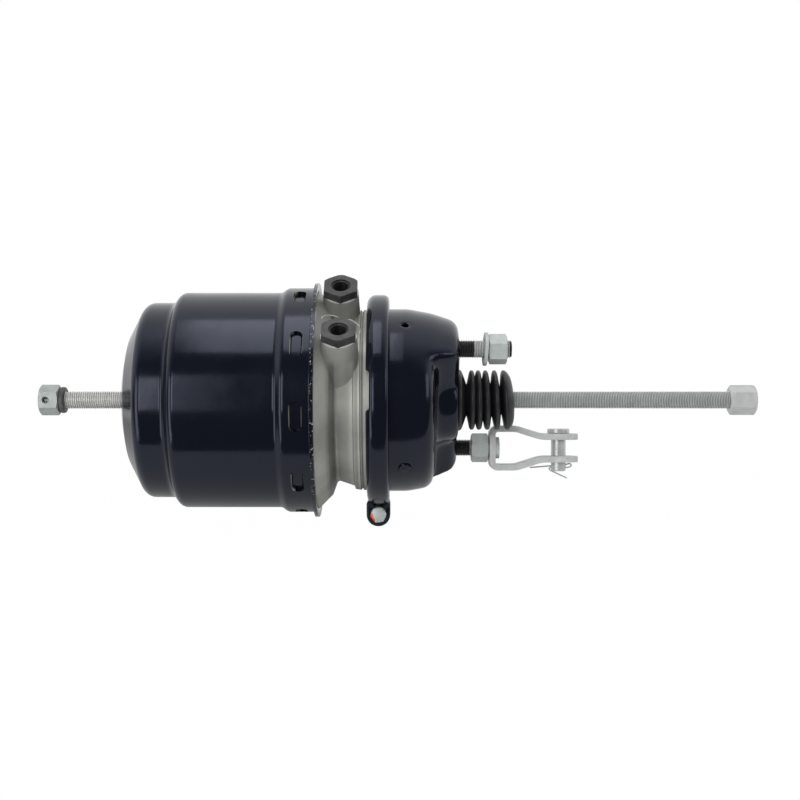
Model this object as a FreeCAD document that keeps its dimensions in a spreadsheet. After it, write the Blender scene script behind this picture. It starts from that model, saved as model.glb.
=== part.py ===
# Spring brake actuator: a parking spring cylinder and a diaphragm service chamber on one axis.
# Frame: X runs along the push rod, away from the chamber. Z is up.
# The origin is the centre of the mounting face, between the two mounting studs.
import FreeCAD, Part
import math
import os
import Sketcher

# Driving dimensions in millimetres and degrees.
SIZES = {
    # standard threads and fasteners
    "thread_radius": 8.0,
    "thread_relief": 0.3,
    "nut_flats": 24.0,
    "nut_height": 16.5,
    "washer_radius": 15.0,
    "washer_bore": 8.6,
    "washer_thick": 3.0,
    "washer_tilt": 4.0,
    "running_gap": 0.05,
    "free_gap": 0.3,
    # parking spring housing, pressed steel
    "sheet_wall": 3.2,
    "crown_radius": 62.7,
    "crown_height": 8.3,
    "shoulder_length": 13.6,
    "shoulder_rounding": 10.0,
    "cone_length": 11.0,
    "cone_drop": 6.6,
    "neck_radius": 89.6,
    "neck_length": 25.8,
    "neck_step": 6.5,
    "barrel_radius": 98.8,
    "barrel_length": 90.5,
    "collar_step": 6.0,
    "collar_radius": 103.1,
    "collar_length": 24.6,
    "lip_radius": 107.6,
    "window_count": 10.0,
    "window_width": 11.0,
    "window_length": 26.0,
    "window_clock": 8.0,
    # cast flange body between the two chambers
    "body_length": 76.7,
    "plug_gap": 0.2,
    "plug_wall": 8.7,
    "seal_groove": 2.8,
    "ring_groove": 3.4,
    "shoulder_radius": 87.4,
    "waist_radius": 74.5,
    "land_radius": 83.1,
    "rim_radius": 91.7,
    "rim_thick": 6.4,
    "web_thick": 8.0,
    "web_station": 19.2,
    "hub_radius": 30.0,
    "hub_recess": 10.0,
    "bush_station": 16.2,
    "bush_length": 13.6,
    "bush_wall": 4.4,
    "port_offset": 31.5,
    "port_station": 106.1,
    "boss_radius": 18.0,
    "boss_top_radius": 15.8,
    "boss_height": 100.4,
    "port_bore": 7.19,
    "adaptor_flats": 29.6,
    "adaptor_height": 7.5,
    "adaptor_shank": 11.0,
    "adaptor_shank_length": 13.0,
    # clamp ring
    "service_depth": 73.1,
    "clamp_width": 20.2,
    "clamp_wall": 3.0,
    "clamp_radius": 96.9,
    "clamp_left_rounding": 8.0,
    "clamp_right_rounding": 5.0,
    "skirt_radius": 83.5,
    "ear_radius": 11.0,
    "ear_drop": 105.1,
    "ear_gap": 12.0,
    "ear_thick": 5.0,
    "clamp_bolt_radius": 4.0,
    "clamp_bolt_flats": 13.0,
    "clamp_bolt_head": 5.5,
    "clamp_nut_height": 7.0,
    # service housing, pressed steel
    "service_wall": 3.0,
    "service_radius": 83.9,
    "service_land": 46.0,
    "service_mid_station": 24.0,
    "service_mid_radius": 79.9,
    "face_radius": 71.9,
    "face_rounding": 11.5,
    "shelf_drop": 22.8,
    "shelf_offset": 27.0,
    "shelf_taper": 20.0,
    "shelf_rounding": 12.0,
    "shelf_collar": 38.5,
    "boot_hole": 22.0,
    "boot_seat": 30.5,
    "boot_seat_depth": 1.0,
    "drain_station": 49.3,
    "drain_radius": 2.8,
    "drain_clock": 4.0,
    "plug_radius": 5.5,
    "plug_clock": 94.7,
    # mounting studs
    "stud_clock": 41.0,
    "stud_pitch": 120.65,
    "stud_shank": 13.0,
    "stud_length": 46.5,
    "stud_head_radius": 12.5,
    "stud_head_thick": 5.0,
    "upper_nut_clock": 11.5,
    "lower_nut_clock": 5.6,
    "upper_nut_station": 25.8,
    "lower_nut_station": 14.2,
    # diaphragm, push plate and push rod
    "diaphragm_wall": 3.0,
    "plate_station": 102.3,
    "plate_radius": 52.0,
    "plate_wall": 4.0,
    "plate_flare": 12.0,
    "plate_dish": 7.0,
    "plate_hub_length": 9.0,
    "rod_reach": 275.0,
    "rod_nut_height": 24.3,
    # push rod boot
    "boot_wall": 1.6,
    "boot_ridge": 27.9,
    "boot_valley": 17.3,
    "boot_first": 12.5,
    "boot_pitch": 7.8,
    "boot_folds": 5.0,
    # parking spring, piston and tube
    "piston_radius": 95.1,
    "piston_station": 207.5,
    "piston_length": 29.0,
    "piston_crown": 9.0,
    "band_station": 8.0,
    "band_width": 4.6,
    "band_depth": 4.0,
    "seal_station": 18.0,
    "seal_width": 6.6,
    "seal_depth": 4.5,
    "ring_play": 0.2,
    "tube_radius": 20.0,
    "tube_bore": 15.6,
    "tube_end": 106.3,
    "park_wire": 6.2,
    "park_coil": 64.0,
    "park_seat": 2.4,
    "return_wire": 1.8,
    "return_coil": 29.0,
    # release bolt
    "release_end": 385.4,
    "release_nut_height": 18.0,
    "release_ring_radius": 12.1,
    "release_ring_thick": 5.4,
    "release_head_radius": 14.0,
    "release_head_thick": 9.0,
    "roll_pin_radius": 3.2,
    "roll_pin_wall": 0.9,
    "guide_length": 26.0,
    # clevis left on the lower stud for transport
    "clevis_width": 42.5,
    "clevis_strip": 24.0,
    "clevis_wall": 6.0,
    "clevis_reach": 85.0,
    "clevis_throat": 15.4,
    "clevis_collar_radius": 10.2,
    "clevis_collar": 3.8,
    "clevis_pin_radius": 7.0,
    "clevis_pin_station": 66.4,
    "clevis_bend": 26.0,
    "clevis_slope": 24.0,
    "clevis_head_radius": 10.6,
    "clevis_head_thick": 4.3,
    "split_pin_radius": 1.5,
}

doc = FreeCAD.newDocument("SpringBrakeActuator")
sheet = doc.addObject("Spreadsheet::Sheet", "Sizes")
for row, (alias, number) in enumerate(SIZES.items(), start=1):
    sheet.set(f"A{row}", alias)
    sheet.set(f"B{row}", str(number))
    sheet.setAlias(f"B{row}", alias)
doc.recompute()

NODES = {}


class Size:
    """A size as a number for drawing and as an expression that stays bound to the sheet."""

    def __init__(self, value, text):
        self.value = value
        self.text = text

    def __add__(self, other):
        other = as_size(other)
        return Size(self.value + other.value, f"({self.text} + {other.text})")

    def __radd__(self, other):
        return as_size(other) + self

    def __sub__(self, other):
        other = as_size(other)
        return Size(self.value - other.value, f"({self.text} - {other.text})")

    def __rsub__(self, other):
        return as_size(other) - self

    def __mul__(self, other):
        other = as_size(other)
        return Size(self.value * other.value, f"({self.text} * {other.text})")

    def __rmul__(self, other):
        return as_size(other) * self

    def __truediv__(self, other):
        other = as_size(other)
        return Size(self.value / other.value, f"({self.text} / {other.text})")

    def __neg__(self):
        return Size(-self.value, f"(0 - {self.text})")


def as_size(item):
    """Give a plain number the same form as a size."""
    if isinstance(item, Size):
        return item
    return Size(float(item), f"{item:.9f}" if item >= 0 else f"(0 - {-item:.9f})")


class Dimensions:
    """Each driving dimension by its name."""


dim = Dimensions()
for alias, number in SIZES.items():
    setattr(dim, alias, Size(number, f"Sizes.{alias}"))


def bind(item, path, size):
    """Keep one property of an object equal to a size."""
    size = as_size(size)
    item.setExpression(path, size.text)


def place(item, x=0, y=0, z=0, turn=None, axis=(1, 0, 0)):
    """Put an object at a position, turned about one axis."""
    x, y, z = as_size(x), as_size(y), as_size(z)
    turn = as_size(turn if turn is not None else 0)
    spot = FreeCAD.Vector(x.value, y.value, z.value)
    spin = FreeCAD.Rotation(FreeCAD.Vector(*axis), turn.value)
    item.Placement = FreeCAD.Placement(spot, spin)
    for letter, size in zip("xyz", (x, y, z)):
        if "Sizes" in size.text:
            bind(item, f"Placement.Base.{letter}", size)
    if "Sizes" in turn.text:
        bind(item, "Placement.Rotation.Angle", turn)
    return item


# Outlines. A corner is (x, y) or (x, y, rounding).


def unit(start, end):
    """Direction from one corner to another, as plain numbers."""
    dx = end[0].value - start[0].value
    dy = end[1].value - start[1].value
    length = math.hypot(dx, dy)
    return dx / length, dy / length


def sized(corners):
    """Turn every entry of the corners into a size."""
    return [tuple(as_size(item) for item in corner) for corner in corners]


def rounded(corners):
    """Replace each rounded corner by two tangent points; yields (x, y, arc radius, left turn)."""
    corners = sized(corners)
    count = len(corners)
    points = []
    for index, corner in enumerate(corners):
        if len(corner) == 2 or corner[2].value <= 0:
            points.append((corner[0], corner[1], None, False))
            continue
        into = unit(corners[index - 1], corner)
        out = unit(corner, corners[(index + 1) % count])
        cross = into[0] * out[1] - into[1] * out[0]
        turn = math.atan2(cross, into[0] * out[0] + into[1] * out[1])
        if abs(turn) < 0.01:
            points.append((corner[0], corner[1], None, False))
            continue
        setback = corner[2] * math.tan(abs(turn) / 2)
        points.append((corner[0] - setback * into[0], corner[1] - setback * into[1], corner[2], turn > 0))
        points.append((corner[0] + setback * out[0], corner[1] + setback * out[1], None, False))
    return points


def pressed(path, wall):
    """Close an open path of corners into a sheet of even wall on its right-hand side."""
    path = sized(path)
    wall = as_size(wall)
    inner = []
    last = len(path) - 1
    for index, corner in enumerate(path):
        into = unit(path[index - 1], corner) if index > 0 else unit(corner, path[1])
        out = unit(corner, path[index + 1]) if index < last else into
        lean = 1 + into[0] * out[0] + into[1] * out[1]
        shift = ((into[1] + out[1]) / lean, -(into[0] + out[0]) / lean)
        spot = [corner[0] + wall * shift[0], corner[1] + wall * shift[1]]
        if len(corner) == 3:
            right_turn = into[0] * out[1] - into[1] * out[0] < 0
            spot.append(corner[2] - wall if right_turn else corner[2] + wall)
        inner.append(tuple(spot))
    return path + inner[::-1]


def origin_plane(body, role):
    """Find one of the body's own origin planes."""
    for feature in body.Origin.OriginFeatures:
        if feature.Role == role:
            return feature
    raise RuntimeError(role)


def pin_point(sketch, geometry, end, x, y):
    """Fix one end of a sketch element at a position."""
    for kind, axis, size in (("DistanceX", -2, x), ("DistanceY", -1, y)):
        if abs(size.value) < 1e-9:
            sketch.addConstraint(Sketcher.Constraint("PointOnObject", geometry, end, axis))
            continue
        index = sketch.addConstraint(Sketcher.Constraint(kind, -1, 1, geometry, end, size.value))
        if "Sizes" in size.text:
            bind(sketch, f"Constraints[{index}]", size)


def draw(body, corners, plane="XY_Plane"):
    """Draw a closed outline of lines and arcs in a sketch of the body."""
    sketch = body.newObject("Sketcher::SketchObject", body.Name + "Sketch")
    sketch.AttachmentSupport = [(origin_plane(body, plane), "")]
    sketch.MapMode = "FlatFace"
    points = rounded(corners)
    count = len(points)
    ends = []
    for index, (x, y, radius, left) in enumerate(points):
        after = points[(index + 1) % count]
        start = FreeCAD.Vector(x.value, y.value, 0)
        finish = FreeCAD.Vector(after[0].value, after[1].value, 0)
        if radius is None:
            sketch.addGeometry(Part.LineSegment(start, finish), False)
            ends.append((1, 2))
            continue
        chord = finish - start
        side = FreeCAD.Vector(-chord.y, chord.x, 0).normalize()
        reach = math.sqrt(max(radius.value ** 2 - chord.Length ** 2 / 4, 0))
        centre = (start + finish) * 0.5 + side * (reach if left else -reach)
        low, high = (start, finish) if left else (finish, start)
        low_angle = math.atan2(low.y - centre.y, low.x - centre.x)
        high_angle = math.atan2(high.y - centre.y, high.x - centre.x)
        circle = Part.Circle(centre, FreeCAD.Vector(0, 0, 1), radius.value)
        sketch.addGeometry(Part.ArcOfCircle(circle, low_angle, high_angle), False)
        ends.append((1, 2) if left else (2, 1))
    for index, (x, y, radius, left) in enumerate(points):
        after = (index + 1) % count
        sketch.addConstraint(Sketcher.Constraint("Coincident", index, ends[index][1], after, ends[after][0]))
        pin_point(sketch, index, ends[index][0], x, y)
        if radius is not None:
            place_of = sketch.addConstraint(Sketcher.Constraint("Radius", index, radius.value))
            if "Sizes" in radius.text:
                bind(sketch, f"Constraints[{place_of}]", radius)
    return sketch


def new_body(name):
    """Start a solid of its own."""
    body = doc.addObject("PartDesign::Body", name)
    body.Label = name
    return body


def turned(name, corners):
    """Revolve an outline (x along the axis, y the radius) about the X axis."""
    body = new_body(name)
    sketch = draw(body, corners)
    revolve = body.newObject("PartDesign::Revolution", name + "Turn")
    revolve.Profile = sketch
    revolve.ReferenceAxis = (sketch, ["H_Axis"])
    revolve.Angle = 360
    body.Tip = revolve
    return body


def padded(name, corners, length, plane="XY_Plane", midplane=True, taper=None):
    """Pad an outline to a length, both ways from its plane or one way."""
    body = new_body(name)
    sketch = draw(body, corners, plane)
    pad = body.newObject("PartDesign::Pad", name + "Pad")
    pad.Profile = sketch
    bind(pad, "Length", length)
    pad.Midplane = midplane
    if taper is not None:
        pad.TaperAngle = taper
    body.Tip = pad
    return body


def bar(name, radius, length, x=0, y=0, z=0, turn=0, axis=(0, 1, 0)):
    """A plain round bar along Z before it is turned."""
    rod = doc.addObject("Part::Cylinder", name)
    bind(rod, "Radius", radius)
    bind(rod, "Height", length)
    return place(rod, x, y, z, turn, axis)


def fuse(name, pieces):
    """Join solids."""
    result = doc.addObject("Part::MultiFuse", name)
    result.Shapes = pieces
    return result


def cut(name, base, tool):
    """Take one solid away from another."""
    result = doc.addObject("Part::Cut", name)
    result.Base = base
    result.Tool = tool
    return result


def common(name, first, second):
    """Keep what two solids share."""
    result = doc.addObject("Part::MultiCommon", name)
    result.Shapes = [first, second]
    return result


def group(name, pieces):
    """Hold several separate solids as one item."""
    result = doc.addObject("Part::Compound", name)
    result.Links = pieces
    return result


def hexagonal(name, flats, corners, length):
    """A turned outline trimmed to a hexagon, corners up and down."""
    prism = doc.addObject("Part::Prism", name + "Hexagon")
    prism.Polygon = 6
    bind(prism, "Circumradius", flats / math.sqrt(3))
    bind(prism, "Height", length)
    place(prism, turn=90, axis=(0, 1, 0))
    blank = turned(name + "Blank", corners)
    return common(name, prism, blank)


def nut_outline(flats, height, bore):
    """Section of a chamfered nut."""
    corner = flats / math.sqrt(3)
    face = flats * 0.475
    drop = flats * 0.05
    return [(0, bore), (0, face), (drop, corner), (height - drop, corner), (height, face), (height, bore)]


def node(name, item):
    """Register the finished object of a sub-part."""
    item.Label = name
    NODES[name] = item
    return item


def clocked(name, pieces):
    """Finish a sub-part that was built with the studs upright: turn it to the stud line."""
    return node(name, place(group(name + "_set", pieces), turn=dim.stud_clock))


# Stations along X, measured from the mounting face.

clamp_left = -(dim.service_depth + dim.clamp_width / 2)
rim_left = clamp_left + dim.clamp_wall
rim_right = rim_left + dim.rim_thick
cover_left = clamp_left + dim.clamp_width - dim.clamp_wall - dim.service_wall
body_left = rim_left - dim.body_length + dim.rim_thick
lip_right = body_left + dim.collar_length - 1.3
housing_length = (
    dim.crown_height + dim.shoulder_length + dim.neck_length + dim.neck_step
    + dim.barrel_length + dim.collar_step + dim.collar_length + dim.sheet_wall
)
dome_end = lip_right - housing_length
window_station = lip_right - dim.sheet_wall - dim.collar_length / 2
stud_radius = dim.stud_pitch / 2
piston_left = -(dim.piston_station + dim.piston_length)


def spring_housing():
    """Stepped steel pot with a row of windows in its collar."""
    crown = dim.crown_height
    shoulder = crown + dim.shoulder_length
    neck = shoulder + dim.neck_length
    barrel = neck + dim.neck_step
    barrel_end = barrel + dim.barrel_length
    collar = barrel_end + dim.collar_step
    lip = collar + dim.collar_length
    guide = dim.release_head_radius + dim.running_gap
    path = [
        (0, guide),
        (0, dim.crown_radius * 0.35, 30),
        (crown * 0.4, dim.crown_radius * 0.7, 60),
        (crown, dim.crown_radius, 4.5),
        (crown + dim.cone_length, dim.neck_radius - dim.cone_drop, 4),
        (shoulder, dim.neck_radius, dim.shoulder_rounding),
        (neck, dim.neck_radius, 6),
        (barrel, dim.barrel_radius, 8),
        (barrel_end, dim.barrel_radius, 5),
        (collar, dim.collar_radius, 7),
        (lip, dim.collar_radius, 1),
        (lip, dim.lip_radius),
    ]
    pot = turned("pot", pressed(path, dim.sheet_wall))
    half = dim.window_length / 2
    corner = dim.window_width * 0.499
    side = dim.window_width / 2
    depth = dim.sheet_wall * 3
    opening = padded(
        "window",
        [(-side, -half, corner), (side, -half, corner), (side, half, corner), (-side, half, corner)],
        depth,
    )
    place(opening, x=window_station - dome_end, z=dim.collar_radius - dim.sheet_wall / 2)
    tools = []
    count = round(SIZES["window_count"])
    for index in range(count):
        tool = group(f"windowTool{index}", [opening])
        place(tool, turn=dim.window_clock + 90 + 360.0 * index / count)
        tools.append(tool)
    result = cut("spring_housing", pot, fuse("windowRow", tools))
    place(result, x=dome_end)
    node("spring_housing", result)


def collar_ring():
    """Flat locking ring between the housing's collar and the cast body, seen through the windows."""
    outer = dim.collar_radius - dim.sheet_wall - dim.plug_gap
    inner = outer - dim.ring_groove + dim.plug_gap
    width = dim.window_width - 1.6
    ring = turned("collar_ring", [(0, inner), (0, outer, 0.8), (width, outer, 0.8), (width, inner)])
    node("collar_ring", place(ring, x=window_station - width / 2))


def body_blank():
    """Outside of the casting, solid to the axis."""
    plug = dim.collar_radius - dim.sheet_wall - dim.plug_gap
    groove = plug - dim.ring_groove
    ring_left = window_station - body_left - dim.window_width / 2 + 0.4
    ring_right = ring_left + dim.window_width - 0.8
    shoulder = lip_right - body_left
    seal = shoulder - dim.sheet_wall - 5.4
    length = dim.body_length
    land = length - dim.rim_thick
    return turned(
        "castBlank",
        [
            (0, 0),
            (0, plug, 1.2),
            (ring_left, plug),
            (ring_left, groove),
            (ring_right, groove),
            (ring_right, plug),
            (seal, plug),
            (seal, plug - dim.seal_groove),
            (seal + 4, plug - dim.seal_groove),
            (seal + 4, plug),
            (shoulder, plug),
            (shoulder + 12.3, dim.shoulder_radius, 3),
            (shoulder + 16.5, dim.waist_radius + 1, 3),
            (shoulder + 18.6, dim.waist_radius, 2),
            (land - 14.6, dim.waist_radius + 4.6),
            (land - 13.6, dim.land_radius - 0.9),
            (land - 8.4, dim.land_radius - 0.2),
            (land - 7.8, dim.land_radius - 1.4),
            (land - 6.6, dim.land_radius - 1.4),
            (land - 6, dim.land_radius),
            (land, dim.land_radius),
            (land, dim.rim_radius, dim.clamp_left_rounding - dim.clamp_wall - 1),
            (length, dim.rim_radius, 0.8),
            (length, 0),
        ],
    )


def flange_body():
    """Casting between the chambers: plug, shoulder, waist, rim, hub and two slanted port bosses."""
    station = -(dim.port_station + body_left)
    shoulder = lip_right - body_left
    length = dim.body_length
    web_right = shoulder + dim.web_station
    web_left = web_right - dim.web_thick
    bosses = []
    drills = []
    foot = dim.waist_radius - 14
    root = foot - 8
    for side, name in ((-1, "lower"), (1, "upper")):
        across = dim.port_offset * side
        boss = doc.addObject("Part::Cone", name + "Boss")
        bind(boss, "Radius1", dim.boss_radius)
        bind(boss, "Radius2", dim.boss_top_radius)
        bind(boss, "Height", dim.boss_height - root)
        bosses.append(place(boss, station, across, root))
        socket = dim.adaptor_shank_length + 1
        bore = dim.adaptor_shank + dim.running_gap
        drills.append(bar(name + "Socket", bore, socket + 1, station, across, dim.boss_height - socket))
        bottom = dim.hub_radius + 8 if side > 0 else foot - 1
        drills.append(bar(name + "Passage", 4.5, dim.boss_height - bottom, station, across, bottom))
    # The lower port feeds the spring side through a cross hole.
    drills.append(bar("crossHole", 4, 16, station, -dim.port_offset, foot + 3.5, -90))
    blank = fuse("castOutside", [body_blank()] + bosses)
    spring_side = turned(
        "springHollow",
        [
            (-1, dim.hub_radius),
            (-1, dim.collar_radius - dim.sheet_wall - dim.plug_gap - dim.plug_wall),
            (shoulder - 1, dim.shoulder_radius + 2, 4),
            (web_left, dim.waist_radius + 1, 5),
            (web_left, dim.hub_radius, 4),
            (dim.hub_recess, dim.hub_radius),
        ],
    )
    service_side = turned(
        "serviceHollow",
        [
            (length + 1, 0),
            (length + 1, dim.land_radius - 1.6),
            (length, dim.land_radius - 2.6),
            (length - 24.2, dim.waist_radius - 8.5, 14),
            (web_right, dim.waist_radius - 22.5, 10),
            (web_right, 0),
        ],
    )
    nest = dim.bush_station - 0.2
    nest_end = dim.bush_station + dim.bush_length + 0.2
    hub_cut = turned(
        "hubBore",
        [
            (-1, 0),
            (-1, dim.hub_radius + 1),
            (dim.hub_recess, dim.hub_radius + 1),
            (dim.hub_recess, dim.tube_radius + 1),
            (nest, dim.tube_radius + 1),
            (nest, dim.tube_radius + dim.bush_wall + 0.1),
            (nest_end, dim.tube_radius + dim.bush_wall + 0.1),
            (nest_end, dim.tube_radius + 1),
            (length, dim.tube_radius + 1),
            (length, 0),
        ],
    )
    tools = fuse("castTools", drills + [spring_side, service_side, hub_cut])
    casting = cut("casting", blank, tools)
    place(casting, x=body_left)
    clocked("flange_body", [casting])


def body_seals():
    """Rubber rings and the bearing bush that the casting carries."""
    outer = dim.collar_radius - dim.sheet_wall - 0.1
    inner = outer - dim.seal_groove
    ring = turned("flange_seal", [(0, inner, 0.8), (0, outer, 0.8), (3.4, outer, 0.8), (3.4, inner, 0.8)])
    node("flange_seal", place(ring, x=lip_right - dim.sheet_wall - 5.1))
    inner = dim.tube_radius + dim.running_gap
    outer = dim.tube_radius + dim.bush_wall
    length = dim.bush_length
    bush = turned("tube_bush", [(0, inner), (0, outer), (length, outer), (length, inner)])
    node("tube_bush", place(bush, x=body_left + dim.bush_station))


def port_adaptors():
    """Hexagonal threaded inserts in the two bosses, flats along the chamber axis."""
    corner = dim.adaptor_flats / math.sqrt(3)
    head = dim.adaptor_height
    reach = dim.adaptor_shank_length
    for side, name in ((-1, "port_adaptor_lower"), (1, "port_adaptor_upper")):
        outline = [
            (0, dim.port_bore),
            (0, corner),
            (head - 0.9, corner),
            (head, dim.adaptor_flats * 0.53),
            (head, dim.port_bore + 1.6),
            (head - 1, dim.port_bore + 1.6),
            (head - 1.6, dim.port_bore),
        ]
        cap = place(hexagonal(name + "Head", dim.adaptor_flats, outline, head), turn=30)
        upright = place(group(name + "Upright", [cap]), turn=-90, axis=(0, 1, 0))
        shank = bar(name + "Shank", dim.adaptor_shank, reach, z=-reach)
        bore = bar(name + "Bore", dim.port_bore, (head + reach) * 2, z=-reach - 1)
        solid = cut(name + "Solid", fuse(name + "Whole", [upright, shank]), bore)
        place(solid, -dim.port_station, dim.port_offset * side, dim.boss_height)
        clocked(name, [solid])


def clamp_ring():
    """Channel-section band with one split and two ears at the bottom."""
    width = dim.clamp_width
    wall = dim.clamp_wall
    path = [
        (0, dim.skirt_radius),
        (0, dim.clamp_radius, dim.clamp_left_rounding),
        (width, dim.clamp_radius, dim.clamp_right_rounding),
        (width, dim.service_radius + 2.4),
    ]
    band = turned("band", pressed(path, wall))
    place(band, x=clamp_left)
    middle = -dim.service_depth
    split = doc.addObject("Part::Box", "bandSplit")
    bind(split, "Length", width * 2)
    bind(split, "Width", dim.ear_gap)
    bind(split, "Height", dim.clamp_radius)
    place(split, middle - width, -dim.ear_gap / 2, -dim.clamp_radius - 1)
    notch = doc.addObject("Part::Box", "skirtNotch")
    bind(notch, "Length", wall * 2)
    bind(notch, "Width", dim.clamp_radius)
    bind(notch, "Height", dim.clamp_radius * 0.35)
    place(notch, clamp_left - wall, -dim.skirt_radius * 2 - 6.5, -dim.clamp_radius * 0.09)
    open_band = cut("openBand", band, fuse("bandTools", [split, notch]))
    half = dim.ear_radius
    ears = []
    for side, name in ((-1, "near"), (1, "far")):
        ear = padded(
            name + "Ear",
            [
                (-half, -dim.ear_drop - half, half * 0.995),
                (half, -dim.ear_drop - half, half * 0.995),
                (half, -dim.clamp_radius + wall),
                (-half, -dim.clamp_radius + wall),
            ],
            dim.ear_thick,
            plane="XZ_Plane",
        )
        place(ear, middle, (dim.ear_gap / 2 + dim.ear_thick / 2) * side)
        ears.append(ear)
    hole = bar("earHole", dim.clamp_bolt_radius + 0.3, 60, middle, 30, -dim.ear_drop, 90, (1, 0, 0))
    node("clamp_ring", cut("clamp_ring", fuse("bandEars", [open_band] + ears), hole))
    clamp_fasteners(middle)


def clamp_fasteners(middle):
    """Bolt through the ears, head towards the front, nut behind."""
    reach = dim.ear_gap / 2 + dim.ear_thick
    head = dim.clamp_bolt_head
    bore = dim.clamp_bolt_radius
    length = reach * 2 + dim.clamp_nut_height + 6
    flats = dim.clamp_bolt_flats
    cap = hexagonal("boltCap", flats, nut_outline(flats, head, 0), head)
    flange = bar("boltFlange", flats * 0.55, 1, turn=90)
    shank = bar("boltShank", bore, length + head, turn=90)
    bolt = fuse("boltWhole", [cap, place(flange, x=head - 1, turn=90, axis=(0, 1, 0)), shank])
    place(bolt, middle, -reach - head, -dim.ear_drop, 90, (0, 0, 1))
    node("clamp_bolt", group("clamp_bolt_set", [bolt]))
    height = dim.clamp_nut_height
    nut = hexagonal("clampNut", flats, nut_outline(flats, height, bore + dim.running_gap), height)
    place(nut, middle, reach, -dim.ear_drop, 90, (0, 0, 1))
    node("clamp_nut", group("clamp_nut_set", [nut]))


def cover_path(front, face_edge, rounding, middle):
    """Outside of the service housing from its rim to the axis, for a given front plane."""
    rim = cover_left + dim.service_wall
    path = [
        (rim, dim.rim_radius),
        (rim, dim.service_radius, 2),
        (-dim.service_land, dim.service_radius, 40),
    ]
    if middle:
        path.append((-dim.service_mid_station, dim.service_mid_radius, 60))
    return path + [(-front, face_edge, rounding), (-front, 0)]


def filled(name, path, depth):
    """Solid of revolution inside a path, smaller by a depth all round."""
    path = sized(path)
    if depth is not None:
        path = pressed(path, depth)[len(path):][::-1]
        path[-1] = (path[-1][0], as_size(0))
    closed = [(cover_left - 1, 0), (cover_left - 1, path[0][1])] + path
    return turned(name, closed)


def soften(body, radius, station, label):
    """Round the edges of a padded solid that lie at one height of its own axis."""
    doc.recompute()
    names = []
    for index, edge in enumerate(body.Shape.Edges, start=1):
        if all(abs(vertex.Point.x - station) < 0.01 for vertex in edge.Vertexes):
            names.append(f"Edge{index}")
    base = body.Tip
    fillet = body.newObject("PartDesign::Fillet", label)
    fillet.Base = (base, names)
    bind(fillet, "Radius", radius)
    body.Tip = fillet
    return body


def raised_front(key, shrink):
    """The mounting bridge and the round seat of the boot, standing on the lower shelf."""
    under = 12
    lean = math.tan(math.radians(SIZES["shelf_taper"]))
    height = dim.shelf_drop + under
    edge = dim.shelf_offset + under * lean - shrink
    far = dim.service_radius + 12
    rim = 26 - shrink
    bridge = padded(
        "bridge" + key,
        [(far, far), (-edge, far, rim), (-edge, -far, rim), (far, -far)],
        height, plane="YZ_Plane", midplane=False, taper=-SIZES["shelf_taper"],
    )
    soften(bridge, dim.shelf_rounding - shrink, SIZES["shelf_drop"] + under, "bridgeRound" + key)
    place(bridge, -height - shrink)
    collar = dim.shelf_collar - shrink
    column = turned(
        "bootColumn" + key,
        [(0, 0), (0, collar + 4), (height, collar - 2, 5.5 - shrink), (height, 0)],
    )
    place(column, -height - shrink)
    return fuse("raised" + key, [bridge, column])


def service_housing():
    """Pressed cover with a raised mounting bridge and a lower shelf beside it."""
    wall = dim.service_wall
    slope = (dim.service_radius - dim.service_mid_radius) / (dim.service_land - dim.service_mid_station)
    shelf_edge = dim.service_radius - slope * (dim.service_land - dim.shelf_drop)
    full = cover_path(0, dim.face_radius, dim.face_rounding, True)
    low = cover_path(dim.shelf_drop, shelf_edge, dim.shelf_rounding, False)
    shapes = []
    for key, depth, shrink in (("Outer", None, as_size(0)), ("Inner", wall, wall)):
        tall = filled("tallCover" + key, full, depth)
        short = filled("shortCover" + key, low, depth)
        front = common("front" + key, tall, raised_front(key, shrink))
        shapes.append(fuse("cover" + key, [short, front]))
    hole = turned(
        "bootHole",
        [
            (-30, 0),
            (-30, dim.boot_hole),
            (-dim.boot_seat_depth, dim.boot_hole),
            (-dim.boot_seat_depth, dim.boot_seat),
            (1, dim.boot_seat),
            (1, 0),
        ],
    )
    tools = [shapes[1], hole]
    stud_hole = dim.thread_radius + 0.5
    for side in (-1, 1):
        tools.append(bar(f"studHole{side + 1}", stud_hole, 12, -10, 0, stud_radius * side, 90))
    drill = bar("drainHole", dim.drain_radius, 20)
    place(drill, -dim.drain_station, 0, dim.service_radius - 10)
    tools.append(place(group("drainTool", [drill]), turn=-dim.drain_clock))
    plug = bar("plugHole", dim.plug_radius - 1, 20)
    place(plug, -dim.drain_station, 0, dim.service_radius - 10)
    tools.append(place(group("plugTool", [plug]), turn=dim.plug_clock))
    shell = cut("coverShell", shapes[0], fuse("coverTools", tools))
    clocked("service_housing", [shell])
    button = turned(
        "plugButton",
        [
            (-4, 0),
            (-4, dim.plug_radius - 1.1),
            (0.3, dim.plug_radius - 1.1),
            (0.3, dim.plug_radius),
            (1.2, dim.plug_radius - 0.6),
            (1.8, 0),
        ],
    )
    place(button, -dim.drain_station, 0, dim.service_radius, -90, (0, 1, 0))
    clocked("drain_plug", [place(group("plugTurned", [button]), turn=dim.plug_clock)])


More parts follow.
